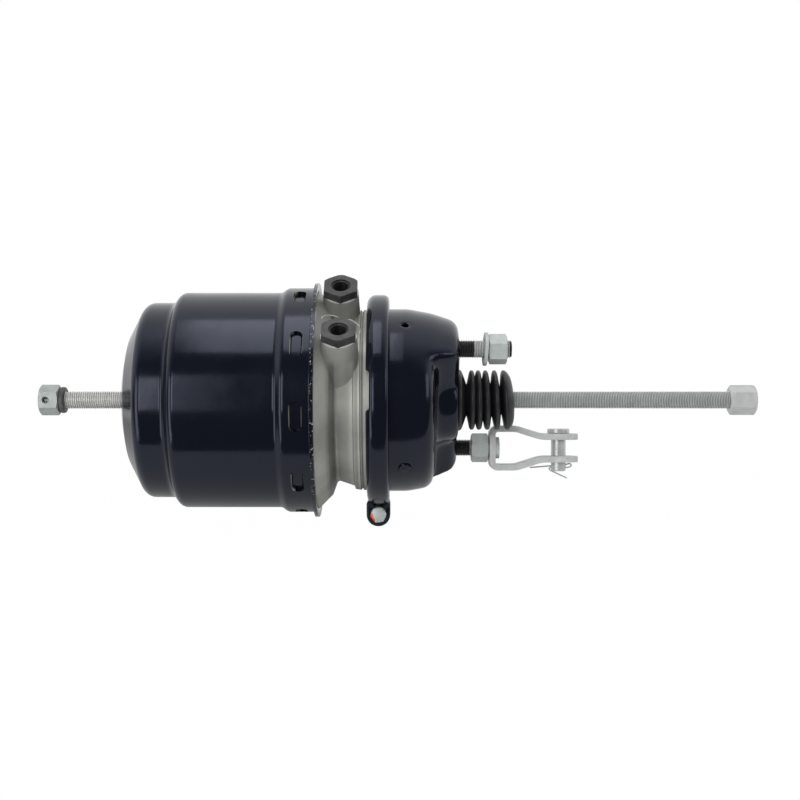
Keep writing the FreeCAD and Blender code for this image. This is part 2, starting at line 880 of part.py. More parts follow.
def stud(name, side, under, room):
    """Headed mounting stud: shank from the mounting face outwards, head trimmed to the room inside."""
    neck = dim.thread_radius + 0.4
    thread = dim.thread_radius - dim.thread_relief
    shank = turned(
        name,
        [
            (-under - 1, 0),
            (-under - 1, neck),
            (0, neck),
            (0, dim.thread_radius),
            (dim.stud_shank, dim.thread_radius),
            (dim.stud_shank + 0.5, thread),
            (dim.stud_length - 1.4, thread),
            (dim.stud_length, thread - 1.4),
            (dim.stud_length, 0),
        ],
    )
    head = turned(
        name + "Head",
        [
            (-under - dim.stud_head_thick, 0),
            (-under - dim.stud_head_thick, dim.stud_head_radius, 1),
            (-under, dim.stud_head_radius),
            (-under, 0),
        ],
    )
    place(shank, z=stud_radius * side)
    place(head, z=stud_radius * side)
    return fuse(name + "Whole", [shank, common(name + "Trimmed", head, room)])


def mounting_hardware():
    """Two studs, their nuts and the loose washer on the upper stud."""
    studs = []
    nuts = []
    bore = dim.thread_radius - dim.thread_relief + dim.running_gap
    under = dim.service_wall + 0.3
    inside = filled("studInside", cover_path(0, dim.face_radius, dim.face_rounding, True), under)
    room = common("studRoom", inside, raised_front("Stud", under))
    upper = (1, "upper", dim.upper_nut_station, dim.upper_nut_clock)
    lower = (-1, "lower", dim.lower_nut_station, dim.lower_nut_clock)
    for side, name, station, clock in (upper, lower):
        studs.append(stud(name + "Stud", side, under, room))
        outline = nut_outline(dim.nut_flats, dim.nut_height, bore)
        nut = hexagonal(name + "Nut", dim.nut_flats, outline, dim.nut_height)
        nuts.append(place(nut, station, 0, stud_radius * side, clock - dim.stud_clock + 60, (1, 0, 0)))
    clocked("mounting_studs", studs)
    clocked("stud_nuts", nuts)
    washer = turned(
        "washerBlank",
        [
            (-dim.washer_thick, dim.washer_bore),
            (-dim.washer_thick, dim.washer_radius, 0.5),
            (0, dim.washer_radius, 0.5),
            (0, dim.washer_bore),
        ],
    )
    lean = dim.washer_radius * math.sin(math.radians(SIZES["washer_tilt"]))
    place(washer, dim.upper_nut_station - lean - 0.05, 0, stud_radius, dim.washer_tilt, (0, 1, 0))
    clocked("stud_washer", [washer])


def diaphragm():
    """Rubber diaphragm, clamped at its bead and lying against the casting's hollow."""
    wall = dim.diaphragm_wall
    face = -(dim.plate_station + wall)
    path = [
        (rim_right, dim.rim_radius),
        (rim_right, dim.land_radius - 5, 4),
        (rim_right - 23.2, dim.waist_radius - 12, 14),
        (face, dim.waist_radius - 26.5, 8),
        (face, 0),
    ]
    # The path runs inwards with the casting on its right, so the sheet is laid on its left.
    mirrored = pressed(path[::-1], wall)
    rubber = turned("diaphragm", mirrored)
    bead = cover_left - rim_right - 0.1
    edge = turned(
        "diaphragmBead",
        [
            (rim_right + 0.05, dim.rim_radius - 6),
            (rim_right + 0.05, dim.rim_radius - 0.5, 1),
            (rim_right + bead, dim.rim_radius - 0.5, 1),
            (rim_right + bead, dim.rim_radius - 6),
        ],
    )
    node("diaphragm", fuse("diaphragmWhole", [rubber, edge]))


def push_rod():
    """Dished plate, rod and the adjusting nut on the rod's end."""
    wall = dim.plate_wall
    path = [
        (-dim.plate_station, 0),
        (-dim.plate_station, dim.plate_radius - dim.plate_flare, 6),
        (-dim.plate_station + dim.plate_dish, dim.plate_radius),
    ]
    plate = turned("plateDish", pressed(path, wall))
    hub_length = dim.plate_hub_length
    hub = turned(
        "plateHub",
        [
            (0, 0),
            (0, dim.thread_radius + 7),
            (5, dim.thread_radius + 4, 2),
            (hub_length, dim.thread_radius + 0.2),
            (hub_length, 0),
        ],
    )
    place(hub, x=-dim.plate_station + wall)
    start = dim.plate_station - wall - hub_length
    node("push_plate", fuse("plateWhole", [plate, hub]))
    rod = turned(
        "pushrod",
        [
            (-start, 0),
            (-start, dim.thread_radius),
            (dim.rod_reach - 3, dim.thread_radius),
            (dim.rod_reach - 1.5, dim.thread_radius - 1.5),
            (dim.rod_reach - 1.5, 0),
        ],
    )
    node("pushrod", rod)
    bore = dim.thread_radius + dim.running_gap
    outline = nut_outline(dim.nut_flats, dim.rod_nut_height, bore)
    nut = hexagonal("rodNut", dim.nut_flats, outline, dim.rod_nut_height)
    node("pushrod_nut", place(nut, x=dim.rod_reach - dim.rod_nut_height))


def boot():
    """Rubber bellows between the housing's face and the push rod."""
    wall = dim.boot_wall
    ridge = dim.boot_ridge
    valley = dim.boot_valley
    folds = round(SIZES["boot_folds"])
    half = dim.boot_pitch * 0.22
    path = [
        (-dim.boot_seat_depth - dim.service_wall + 0.4, dim.boot_hole - 0.4),
        (-dim.boot_seat_depth + 0.15, dim.boot_hole - 0.4),
        (-dim.boot_seat_depth + 0.15, ridge + 0.4),
        (3.4, ridge + 0.2, 1.6),
        (dim.boot_first * 0.62, valley),
    ]
    for index in range(folds):
        crest = dim.boot_first + dim.boot_pitch * index
        path.append((crest - half, ridge - 0.6, 1.2))
        path.append((crest + half, ridge - 0.6, 1.2))
        if index < folds - 1:
            path.append((crest + dim.boot_pitch * 0.5, valley))
    tip = dim.boot_first + dim.boot_pitch * (dim.boot_folds - 1) + half
    path.append((tip + 4.2, dim.thread_radius + 4))
    path.append((tip + 5, dim.thread_radius + 2.4))
    skin = turned("bellowsSkin", pressed(path, wall))
    sleeve = turned(
        "bellowsCuff",
        [
            (tip + 1.6, dim.thread_radius + dim.free_gap),
            (tip + 1.6, dim.thread_radius + 3.2),
            (tip + 6, dim.thread_radius + 2.6, 0.8),
            (tip + 6, dim.thread_radius + dim.free_gap),
        ],
    )
    node("bellows", fuse("bellowsWhole", [skin, sleeve]))


def spring(name, wire, coil, length, pitch, lean=0.0):
    """Round wire wound along X, from seat to seat."""
    helix = doc.addObject("Part::Helix", name + "Path")
    bind(helix, "Pitch", pitch)
    bind(helix, "Height", length - wire * 2)
    bind(helix, "Radius", coil)
    helix.Angle = lean
    helix.SegmentLength = 0.5
    section = doc.addObject("Part::Circle", name + "Section")
    bind(section, "Radius", wire)
    place(section, x=coil, turn=90, axis=(1, 0, 0))
    sweep = doc.addObject("Part::Sweep", name + "Sweep")
    sweep.Sections = [section]
    sweep.Spine = (helix, [])
    sweep.Solid = True
    sweep.Frenet = True
    place(sweep, x=wire, turn=90, axis=(0, 1, 0))
    return group(name, [sweep])


def parking_parts():
    """Parking spring, its piston with seal and guide band, and the hollow piston tube."""
    crown = dim.piston_crown
    seat_depth = 6.0
    play = dim.ring_play
    band_left = dim.band_station
    band_right = band_left + dim.band_width + play * 2
    band_floor = dim.piston_radius - dim.band_depth
    seal_left = dim.seal_station
    seal_right = seal_left + dim.seal_width + play * 2
    seal_floor = dim.piston_radius - dim.seal_depth
    outline = [
        (0, dim.thread_radius + 1.2),
        (0, 34, 2),
        (seat_depth, 38, 2),
        (seat_depth, dim.park_coil + dim.park_wire + 4, 2),
        (2, dim.park_coil + dim.park_wire + 8, 2),
        (2, dim.piston_radius, 1),
        (band_left, dim.piston_radius),
        (band_left, band_floor),
        (band_right, band_floor),
        (band_right, dim.piston_radius),
        (seal_left, dim.piston_radius),
        (seal_left, seal_floor),
        (seal_right, seal_floor),
        (seal_right, dim.piston_radius),
        (dim.piston_length, dim.piston_radius, 1),
        (dim.piston_length, dim.piston_radius - 10, 1),
        (seat_depth + crown, dim.piston_radius - 16, 3),
        (seat_depth + crown, dim.tube_radius + 8, 3),
        (seat_depth + crown + 8, dim.tube_radius + 4, 2),
        (seat_depth + crown + 8, dim.tube_radius + dim.running_gap),
        (crown, dim.tube_radius + dim.running_gap),
        (crown, dim.thread_radius + 1.2),
    ]
    node("spring_piston", place(turned("spring_piston", outline), x=piston_left))
    inner = seal_floor + play
    outer = dim.barrel_radius - dim.sheet_wall - 0.05
    width = dim.seal_width
    seal = turned("piston_seal", [(0, inner, 1), (0, outer, 1.5), (width, outer, 1.5), (width, inner, 1)])
    node("piston_seal", place(seal, x=piston_left + seal_left + play))
    inner = band_floor + 0.1
    outer = dim.barrel_radius - dim.sheet_wall - 0.1
    width = dim.band_width
    band = turned("piston_band", [(0, inner), (0, outer), (width, outer), (width, inner)])
    node("piston_band", place(band, x=piston_left + band_left + play))
    tube = turned(
        "piston_tube",
        [
            (piston_left + crown + 0.1, dim.tube_bore),
            (piston_left + crown + 0.1, dim.tube_radius),
            (-dim.tube_end, dim.tube_radius, 2),
            (-dim.tube_end, 0),
            (-dim.tube_end - 8, 0),
            (-dim.tube_end - 8, dim.tube_bore, 3),
        ],
    )
    node("piston_tube", tube)
    seat = dome_end + dim.sheet_wall + dim.crown_height + dim.park_seat
    length = piston_left + seat_depth - 0.1 - seat
    park = spring("parkCoil", dim.park_wire, dim.park_coil, length, dim.park_wire * 2.1)
    node("parking_spring", place(park, x=seat))


def return_spring():
    """Light conical spring between the push plate and the service housing."""
    seat = -dim.plate_station + dim.plate_wall + 0.3
    front = -dim.boot_seat_depth - dim.service_wall - 0.3
    coil = spring("returnCoil", dim.return_wire, dim.return_coil, front - seat, (front - seat) / 5.5)
    node("return_spring", place(coil, x=seat))


def release_gear():
    """Release bolt wound out: spindle with head, hexagon, roll pin, ring, thrust washer and guide."""
    start = -dim.release_end
    inside = piston_left + dim.piston_crown
    head = inside + 3.6
    spindle = turned(
        "release_bolt",
        [
            (start + 2, 0),
            (start + 2, dim.thread_radius - 1),
            (start + 3, dim.thread_radius),
            (head, dim.thread_radius),
            (head, dim.release_head_radius),
            (head + dim.release_head_thick, dim.release_head_radius, 1),
            (head + dim.release_head_thick, 0),
        ],
    )
    cross = dim.roll_pin_radius + dim.running_gap
    pin_x = start + 6.9
    hole = bar("pinHoleBolt", cross, 60, pin_x, 30, 0, 90, (1, 0, 0))
    node("release_bolt", cut("releaseSpindle", spindle, hole))
    bore = dim.thread_radius + dim.running_gap
    outline = nut_outline(dim.nut_flats + 0.6, dim.release_nut_height, bore)
    nut = hexagonal("releaseHex", dim.nut_flats + 0.6, outline, dim.release_nut_height)
    place(nut, x=start)
    hole = bar("pinHoleNut", cross, 60, pin_x, 30, 0, 90, (1, 0, 0))
    node("release_nut", cut("releaseNut", nut, hole))
    span = dim.nut_flats - 1
    pin = bar("pinOutside", dim.roll_pin_radius, span, pin_x, span / 2, 0, 90, (1, 0, 0))
    hollow = bar("pinInside", dim.roll_pin_radius - dim.roll_pin_wall, 60, pin_x, 30, 0, 90, (1, 0, 0))
    node("release_pin", cut("rollPin", pin, hollow))
    ring = dim.release_ring_thick
    free = dim.thread_radius + dim.free_gap
    edge = dim.release_ring_radius
    washer = turned("release_washer", [(0, free, 1), (0, edge, 2), (ring, edge, 2), (ring, free, 1)])
    node("release_washer", place(washer, x=start + dim.release_nut_height + 0.3))
    thrust = turned(
        "thrust_washer",
        [
            (inside + 0.3, dim.thread_radius + dim.free_gap),
            (inside + 0.3, dim.release_head_radius),
            (head - 0.3, dim.release_head_radius),
            (head - 0.3, dim.thread_radius + dim.free_gap),
        ],
    )
    node("thrust_washer", thrust)
    guide = turned(
        "bolt_guide",
        [
            (-1.2, dim.thread_radius + dim.running_gap),
            (-1.2, dim.release_head_radius - 1.5),
            (0, dim.release_head_radius),
            (dim.sheet_wall, dim.release_head_radius),
            (dim.sheet_wall + 0.1, dim.release_head_radius + 6),
            (dim.sheet_wall + 5, dim.release_head_radius + 6, 1),
            (dim.sheet_wall + 8, dim.release_head_radius),
            (dim.guide_length, dim.release_head_radius, 2),
            (dim.guide_length, dim.thread_radius + dim.running_gap),
        ],
    )
    node("bolt_guide", place(guide, x=dome_end))


def clevis():
    """Bent strip fork, threaded collar, pin and split pin, parked on the lower stud."""
    half = dim.clevis_width / 2
    wall = dim.clevis_wall
    reach = dim.clevis_reach
    outer = dim.clevis_throat / 2 + wall
    bend = dim.clevis_bend
    slope = bend + dim.clevis_slope
    path = [
        (reach, outer),
        (slope, outer, 30),
        (bend, half, 30),
        (0, half, wall + 2),
        (0, -half, wall + 2),
        (bend, -half, 30),
        (slope, -outer, 30),
        (reach, -outer),
    ]
    strip = padded("forkStrip", pressed(path[::-1], wall), dim.clevis_strip, plane="XZ_Plane")
    trim_half = dim.clevis_strip / 2
    trim = padded(
        "forkTrim",
        [
            (-1, -trim_half),
            (reach, -trim_half, trim_half * 0.98),
            (reach, trim_half, trim_half * 0.98),
            (-1, trim_half),
        ],
        dim.clevis_width * 2,
    )
    fork = common("forkShape", strip, trim)
    stud_bore = dim.thread_radius - dim.thread_relief + dim.running_gap
    base_hole = bar("forkBaseHole", stud_bore, 20, -5, turn=90)
    pin_bore = dim.clevis_pin_radius + dim.running_gap
    pin_hole = bar("forkPinHole", pin_bore, 80, dim.clevis_pin_station, 0, -40)
    solid = cut("forkSolid", fork, fuse("forkHoles", [base_hole, pin_hole]))
    base = dim.lower_nut_station + dim.nut_height + 0.6
    stud_y = stud_radius * math.sin(math.radians(SIZES["stud_clock"]))
    stud_z = -stud_radius * math.cos(math.radians(SIZES["stud_clock"]))
    node("clevis_fork", place(group("forkPlaced", [place(solid, base, stud_y, stud_z)])))
    collar = turned(
        "clevis_collar",
        [
            (0, stud_bore),
            (0, dim.clevis_collar_radius),
            (dim.clevis_collar, dim.clevis_collar_radius, 0.8),
            (dim.clevis_collar, stud_bore),
        ],
    )
    node("clevis_collar", place(collar, base + wall + 0.05, stud_y, stud_z))
    top = outer + 0.3
    below = outer + 8.5
    pin = turned(
        "pinTurned",
        [
            (-below, 0),
            (-below, dim.clevis_pin_radius - 1),
            (-below + 1, dim.clevis_pin_radius),
            (top, dim.clevis_pin_radius),
            (top, dim.clevis_head_radius, 0.6),
            (top + dim.clevis_head_thick, dim.clevis_head_radius, 1.2),
            (top + dim.clevis_head_thick, 0),
        ],
    )
    place(pin, turn=-90, axis=(0, 1, 0))
    cross = bar("pinCross", dim.split_pin_radius + 0.1, 40, -20, 0, -below + 4.2, 90)
    drilled = cut("pinDrilled", pin, cross)
    node("clevis_pin", place(drilled, base + dim.clevis_pin_station, stud_y, stud_z))
    split_pin(base + dim.clevis_pin_station, stud_y, stud_z - below + 4.2)


def split_pin(x, y, z):
    """Split pin through the clevis pin: eye on the right, one leg straight, one bent back below."""
    wire = dim.split_pin_radius
    leg = wire * 0.75
    exit_x = dim.clevis_pin_radius + 1
    shank = bar("splitShank", wire, exit_x * 2 + 1, -exit_x, turn=90)
    straight = bar("splitStraight", leg, 12, -exit_x + 0.5, 0, wire - leg, -93)
    knee = bar("splitKnee", leg, 5.6, -exit_x - 0.25, 0, leg - wire + 0.2, 180)
    lower = bar("splitLower", leg, 17.5, -exit_x - 0.6, 0, leg - wire - 5.4, 114)
    eye = doc.addObject("Part::Torus", "splitEye")
    bind(eye, "Radius1", wire * 1.9)
    bind(eye, "Radius2", leg)
    place(eye, exit_x + wire * 2.4, 0, 0, 90, (1, 0, 0))
    whole = fuse("splitWhole", [shank, straight, knee, lower, eye])
    node("split_pin", place(whole, x, y, z))


spring_housing()
collar_ring()
flange_body()
body_seals()
port_adaptors()
clamp_ring()
service_housing()
mounting_hardware()
diaphragm()
push_rod()
boot()
parking_parts()
return_spring()
release_gear()
clevis()

doc.recompute()
for item in doc.Objects:
    if "Invalid" in item.State or "Error" in item.State:
        raise RuntimeError(f"{item.Name} ({item.Label}) failed: {item.State}")
os.makedirs("parts", exist_ok=True)
for name, item in NODES.items():
    shape = item.Shape
    if shape.isNull() or not shape.isValid() or not shape.Solids:
        raise RuntimeError(f"{name} has no valid solid")
    print(name, len(shape.Solids), round(shape.Volume / 1000, 2), shape.BoundBox)
    shape.exportStep(f"parts/{name}.step")
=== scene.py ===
# %% [markdown]
# # An air brake chamber for a truck axle
# The real object is a pressed steel spring housing, a cast aluminium middle
# body, a clamp ring, a pressed service housing with two mounting studs, a
# rubber boot and a long threaded push rod. The CAD frame already holds every
# moving part in its true place, so the first step is to load it and to measure
# its box. Everything made later has to stay inside that box.

# %% Load the frame
import math

import bpy
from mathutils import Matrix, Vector


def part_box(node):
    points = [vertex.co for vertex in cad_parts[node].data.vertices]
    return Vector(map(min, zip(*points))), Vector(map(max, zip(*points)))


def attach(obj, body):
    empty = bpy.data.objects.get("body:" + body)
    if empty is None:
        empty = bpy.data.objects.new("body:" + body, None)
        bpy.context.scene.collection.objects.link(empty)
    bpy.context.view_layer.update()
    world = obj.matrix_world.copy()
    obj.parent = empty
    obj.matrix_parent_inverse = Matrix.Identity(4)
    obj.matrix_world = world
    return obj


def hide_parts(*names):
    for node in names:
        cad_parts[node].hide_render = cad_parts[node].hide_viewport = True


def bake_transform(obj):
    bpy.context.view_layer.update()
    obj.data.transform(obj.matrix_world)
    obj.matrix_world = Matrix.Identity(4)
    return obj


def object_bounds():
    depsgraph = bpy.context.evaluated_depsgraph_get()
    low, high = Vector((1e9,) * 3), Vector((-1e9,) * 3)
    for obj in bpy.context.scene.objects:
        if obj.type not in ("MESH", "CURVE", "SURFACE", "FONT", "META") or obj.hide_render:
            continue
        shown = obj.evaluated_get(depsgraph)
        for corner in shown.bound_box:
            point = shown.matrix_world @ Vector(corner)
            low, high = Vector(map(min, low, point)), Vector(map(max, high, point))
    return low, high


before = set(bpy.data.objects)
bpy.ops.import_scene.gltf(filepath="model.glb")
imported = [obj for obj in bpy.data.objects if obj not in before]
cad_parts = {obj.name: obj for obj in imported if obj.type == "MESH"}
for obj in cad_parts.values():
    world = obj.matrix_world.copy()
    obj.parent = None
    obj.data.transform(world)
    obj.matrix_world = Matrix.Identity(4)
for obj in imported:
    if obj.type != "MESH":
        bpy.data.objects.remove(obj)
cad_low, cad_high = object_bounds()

print("CAD box in mm:", [round(v * 1000, 1) for v in (*cad_low, *cad_high)])

# %% [markdown]
# ## Camera
# The picture is taken level with the push rod, square to its side, from about
# a metre and a quarter away. A long lens keeps the perspective weak. The image
# is square, so the sensor width sets the field of view both ways, and the lens
# follows from the distance and the real size of one pixel at the rod's axis.

# %% Camera
PICTURE = 800
METRES_PER_PIXEL = 0.000925
DISTANCE = 1.25
MIDDLE = -0.0533
SENSOR = 36.0
lens = SENSOR * DISTANCE / (PICTURE * METRES_PER_PIXEL)
bpy.ops.object.camera_add(location=(MIDDLE, -DISTANCE, 0.0), rotation=(math.pi / 2, 0, 0))
camera = bpy.context.object
camera.name = "Camera"
camera.data.lens = lens
camera.data.sensor_width = SENSOR
camera.data.clip_start = 0.01
camera.data.clip_end = 50.0
bpy.context.scene.camera = camera
print("lens in mm:", round(lens, 1))

# %% [markdown]
# ## Table
# The part stands near the front edge of a pale table. A studio table could be
# lit until it is white, but that would wash out the part as well. So the table
# is plain grey to the lamps, and its material asks what kind of ray looks at
# it: the camera sees it almost white, and the gloss paint sees it faintly. It
# begins just in front of the part, so it shows in the paint only low down.

# %% Node helpers
def add_node(tree, kind, values=None, **settings):
    """Add a node, make its settings, and fill its inputs by name or number."""
    made = tree.nodes.new(kind)
    for key, value in settings.items():
        setattr(made, key, value)
    for key, value in (values or {}).items():
        made.inputs[key].default_value = value
    return made


def range_node(tree, low_high, start_end, **settings):
    """A Map Range node that stretches one pair of numbers to another."""
    names = ("From Min", "From Max", "To Min", "To Max")
    values = dict(zip(names, (*low_high, *start_end)))
    return add_node(tree, "ShaderNodeMapRange", values, **settings)


def wired(tree, *pairs):
    """Link each pair of an output and an input."""
    for source, goal in pairs:
        tree.links.new(source, goal)


# %% Table
TABLE_SIZE = (2.6, 1.64, 1)
TABLE_MIDDLE = 0.68
GAP_BELOW = 0.002
TABLE_GREY = (0.86, 0.86, 0.86, 1)
SEEN_WHITE = 0.995
MIRRORED_WHITE = 0.25

bpy.ops.object.select_all(action="DESELECT")
bpy.ops.mesh.primitive_plane_add(size=1, location=(0, TABLE_MIDDLE, cad_low.z - GAP_BELOW))
floor = bpy.context.object
floor.name = "Floor"
bpy.ops.transform.resize(value=TABLE_SIZE)
print("floor at z =", round(floor.location.z, 4))

# %% Finish of the table
floor_finish = bpy.data.materials.new("floor_white")
floor_finish.use_nodes = True
tree = floor_finish.node_tree
tree.nodes.clear()
rays = add_node(tree, "ShaderNodeLightPath")
seen = add_node(tree, "ShaderNodeMath", {1: SEEN_WHITE}, operation="MULTIPLY")
mirrored = add_node(tree, "ShaderNodeMath", {1: MIRRORED_WHITE}, operation="MULTIPLY_ADD")
diffuse = add_node(tree, "ShaderNodeBsdfDiffuse", {"Color": TABLE_GREY})
glow = add_node(tree, "ShaderNodeEmission", {"Strength": 1.0})
mix = add_node(tree, "ShaderNodeMixShader")
out = add_node(tree, "ShaderNodeOutputMaterial")
wired(
    tree,
    (rays.outputs["Is Camera Ray"], seen.inputs[0]),
    (rays.outputs["Is Glossy Ray"], mirrored.inputs[0]),
    (seen.outputs[0], mirrored.inputs[2]),
    (mirrored.outputs[0], mix.inputs[0]),
    (diffuse.outputs[0], mix.inputs[1]),
    (glow.outputs[0], mix.inputs[2]),
    (mix.outputs[0], out.inputs[0]),
)
floor.data.materials.append(floor_finish)
print("table nodes:", len(tree.nodes))

# %% [markdown]
# ## Room
# Gloss paint is a mirror, so it shows the room. The real studio is white behind
# and above the object and dim on the camera's side. A box of walls could be
# modelled, but the world does the same without a mesh: the level that a
# reflection sees rises from the front to the back and towards the ceiling. The
# camera sees plain white, and all other light is one even level.

# %% World
ROOM_LIGHT = 0.40
ROOM_DEPTH = (-0.25, 0.45)
ROOM_LEVEL = (0.12, 0.95)
CEILING_HEIGHT = (0.0, 0.35)
CEILING_LIFT = (0.0, 0.5)

world = bpy.data.worlds.new("Studio")
bpy.context.scene.world = world
world.use_nodes = True
tree = world.node_tree
tree.nodes.clear()
rays = add_node(tree, "ShaderNodeLightPath")
way = add_node(tree, "ShaderNodeTexCoord")
split = add_node(tree, "ShaderNodeSeparateXYZ")
ceiling = range_node(tree, CEILING_HEIGHT, CEILING_LIFT)
depth = add_node(tree, "ShaderNodeMath", operation="ADD")
room = range_node(tree, ROOM_DEPTH, ROOM_LEVEL, interpolation_type="SMOOTHSTEP")
reflected = add_node(tree, "ShaderNodeMix", {2: ROOM_LIGHT}, data_type="FLOAT")
direct = add_node(tree, "ShaderNodeMath", operation="MAXIMUM")
level = add_node(tree, "ShaderNodeMix", {3: 1.0}, data_type="FLOAT")
back = add_node(tree, "ShaderNodeBackground", {"Color": (1, 1, 1, 1)})
out = add_node(tree, "ShaderNodeOutputWorld")
wired(
    tree,
    (way.outputs["Generated"], split.inputs[0]),
    (split.outputs["Z"], ceiling.inputs["Value"]),
    (split.outputs["Y"], depth.inputs[0]),
    (ceiling.outputs[0], depth.inputs[1]),
    (depth.outputs[0], room.inputs["Value"]),
    (rays.outputs["Is Glossy Ray"], reflected.inputs[0]),
    (room.outputs[0], reflected.inputs[3]),
    (rays.outputs["Is Camera Ray"], direct.inputs[0]),
    (rays.outputs["Is Transmission Ray"], direct.inputs[1]),
    (direct.outputs[0], level.inputs[0]),
    (reflected.outputs[0], level.inputs[2]),
    (level.outputs[0], back.inputs["Strength"]),
    (back.outputs[0], out.inputs[0]),
)
bpy.context.scene.view_settings.view_transform = "Standard"
print("world nodes:", len(tree.nodes))

# %% [markdown]
# ## Lamps
# The long soft streaks on the drum are the studio's lamps: one softbox
# overhead, tall windows on the left and a weak fill on the right. Each is a
# rectangular area lamp. A lamp's power grows with its face, so the helper takes
# the brightness of the face instead, and a lamp can be resized without a new
# number. The front fill lights the metal and leaves no streak.


# %% Softboxes
def softbox(name, place, aim, width, height, level):
    """A rectangular lamp whose face glows at the given level, pointed at a place."""
    bpy.ops.object.light_add(type="AREA", location=place)
    lamp = bpy.context.object
    lamp.name = name
    lamp.data.shape = "RECTANGLE"
    lamp.data.size = width
    lamp.data.size_y = height
    lamp.data.energy = level * math.pi * width * height
    turn = (Vector(aim) - Vector(place)).to_track_quat("-Z", "Y")
    lamp.rotation_euler = turn.to_euler()
    return lamp


DRUM = (-0.28, -0.05, 0.0)
softbox("Overhead", (-0.21, -0.33, 0.80), (-0.21, -0.10, 0.0), 0.30, 0.64, level=2.0)
softbox("LeftWindow", (-0.66, -1.25, 0.16), DRUM, 0.34, 0.84, level=3.0)
softbox("SideWindow", (-1.12, -0.80, -0.18), DRUM, 0.50, 1.30, level=2.2)
softbox("LeftGlow", (-0.43, -1.27, 0.16), (-0.24, -0.05, 0.0), 0.12, 0.84, level=0.7)
softbox("RightFill", (1.15, -0.75, 0.35), (0.1, 0.0, 0.0), 0.5, 0.6, level=1.6)
front = softbox("FrontFill", (-0.10, -1.35, 0.45), (-0.10, 0.0, 0.0), 0.50, 0.50, level=10.0)
front.visible_glossy = False

# %% [markdown]
# ## Finishes
# Each finish is a small node tree on the Principled shader. Object coordinates
# are in metres, so a noise scale of 500 has features about two millimetres
# wide. Colour, roughness and a fine bump all vary a little, because no real
# surface is even. A few helpers build the trees, so that each finish below is
# only its own colours and numbers.


# %% Finish helpers
def finish(name, metallic=0.0, tint=(1, 1, 1)):
    """A new Principled material with its own tree and Object coordinates."""
    made = bpy.data.materials.new(name)
    made.use_nodes = True
    shader = made.node_tree.nodes["Principled BSDF"]
    shader.inputs["Metallic"].default_value = metallic
    shader.inputs["Specular Tint"].default_value = (*tint, 1)
    made.node_tree.nodes.new("ShaderNodeTexCoord").name = "Coords"
    return made, shader


def noise(made, scale, detail=3.0, rough=0.5):
    """Noise on Object coordinates; scale counts features per metre."""
    values = {"Scale": scale, "Detail": detail, "Roughness": rough}
    texture = add_node(made.node_tree, "ShaderNodeTexNoise", values)
    coords = made.node_tree.nodes["Coords"].outputs["Object"]
    wired(made.node_tree, (coords, texture.inputs["Vector"]))
    return texture.outputs["Fac"]


def ramped(made, value, low, high, start, end):
    """Stretch a value from low..high to start..end."""
    remap = range_node(made.node_tree, (low, high), (start, end))
    wired(made.node_tree, (value, remap.inputs["Value"]))
    return remap.outputs["Result"]


def cloudy(made, scale, detail, start=0.0, end=1.0):
    """Noise, which lies mostly between 0.3 and 0.7, stretched to fill start..end."""
    return ramped(made, noise(made, scale, detail), 0.3, 0.7, start, end)


def blended(made, share, one, other):
    """Mix two colours, or two colour sockets, by a share."""
    mixer = add_node(made.node_tree, "ShaderNodeMix", data_type="RGBA")
    wired(made.node_tree, (share, mixer.inputs[0]))
    for socket, colour in ((mixer.inputs[6], one), (mixer.inputs[7], other)):
        if isinstance(colour, tuple):
            socket.default_value = (*colour, 1)
        else:
            wired(made.node_tree, (colour, socket))
    return mixer.outputs[2]


def bumped(made, shader, height, depth, strength=1.0):
    """A bump whose full height is the given depth in metres, over any bump before it."""
    values = {"Distance": depth, "Strength": strength}
    bump = add_node(made.node_tree, "ShaderNodeBump", values)
    wired(made.node_tree, (height, bump.inputs["Height"]))
    if shader.inputs["Normal"].is_linked:
        before = shader.inputs["Normal"].links[0].from_socket
        wired(made.node_tree, (before, bump.inputs["Normal"]))
    wired(made.node_tree, (bump.outputs["Normal"], shader.inputs["Normal"]))


def surface(made, shader, colour, roughness):
    """Join a colour socket and a roughness socket to the shader."""
    wired(
        made.node_tree,
        (colour, shader.inputs["Base Color"]),
        (roughness, shader.inputs["Roughness"]),
    )


# %% [markdown]
# ### Paint
# The housings and the clamp ring are painted a blue-black enamel. It is so dark
# that its colour is seen mostly in its reflections, so the tint sits on the
# specular and not only on the base. Two bumps make it look sprayed: a fine
# orange peel, and a slow waviness of the pressed sheet, which bends the streaks.

# %% Blue-black paint
PAINT = ((0.0018, 0.0030, 0.0068), (0.0028, 0.0042, 0.0092))
PAINT_TINT = (0.73, 0.79, 1.0)


def enamelled(made, shader, colour):
    """Give a colour the gloss, the orange peel and the waviness of the paint."""
    surface(made, shader, colour, cloudy(made, 60, 4, 0.12, 0.19))
    bumped(made, shader, noise(made, 420, 2), 0.00002, 0.4)
    bumped(made, shader, noise(made, 25, 3), 0.0003, 0.5)


paint, shader = finish("blue_black_paint", tint=PAINT_TINT)
enamelled(paint, shader, blended(paint, noise(paint, 14, 2), *PAINT))
print("paint:", paint.name)

# %% [markdown]
# ### Worn paint
# On the spring housing the paint is chipped along the rolled lip and rubbed off
# the walls of the windows. Chips could be painted on an image, but a procedural
# mask stays sharp and follows the form: one mask is the distance from the rod,
# the other takes faces near the windows that don't look outwards.


# %% Reading the place of a point
def place_of(made):
    """The Object coordinate split into its three numbers."""
    parts = add_node(made.node_tree, "ShaderNodeSeparateXYZ")
    wired(made.node_tree, (made.node_tree.nodes["Coords"].outputs["Object"], parts.inputs[0]))
    return parts.outputs["X"], parts.outputs["Y"], parts.outputs["Z"]


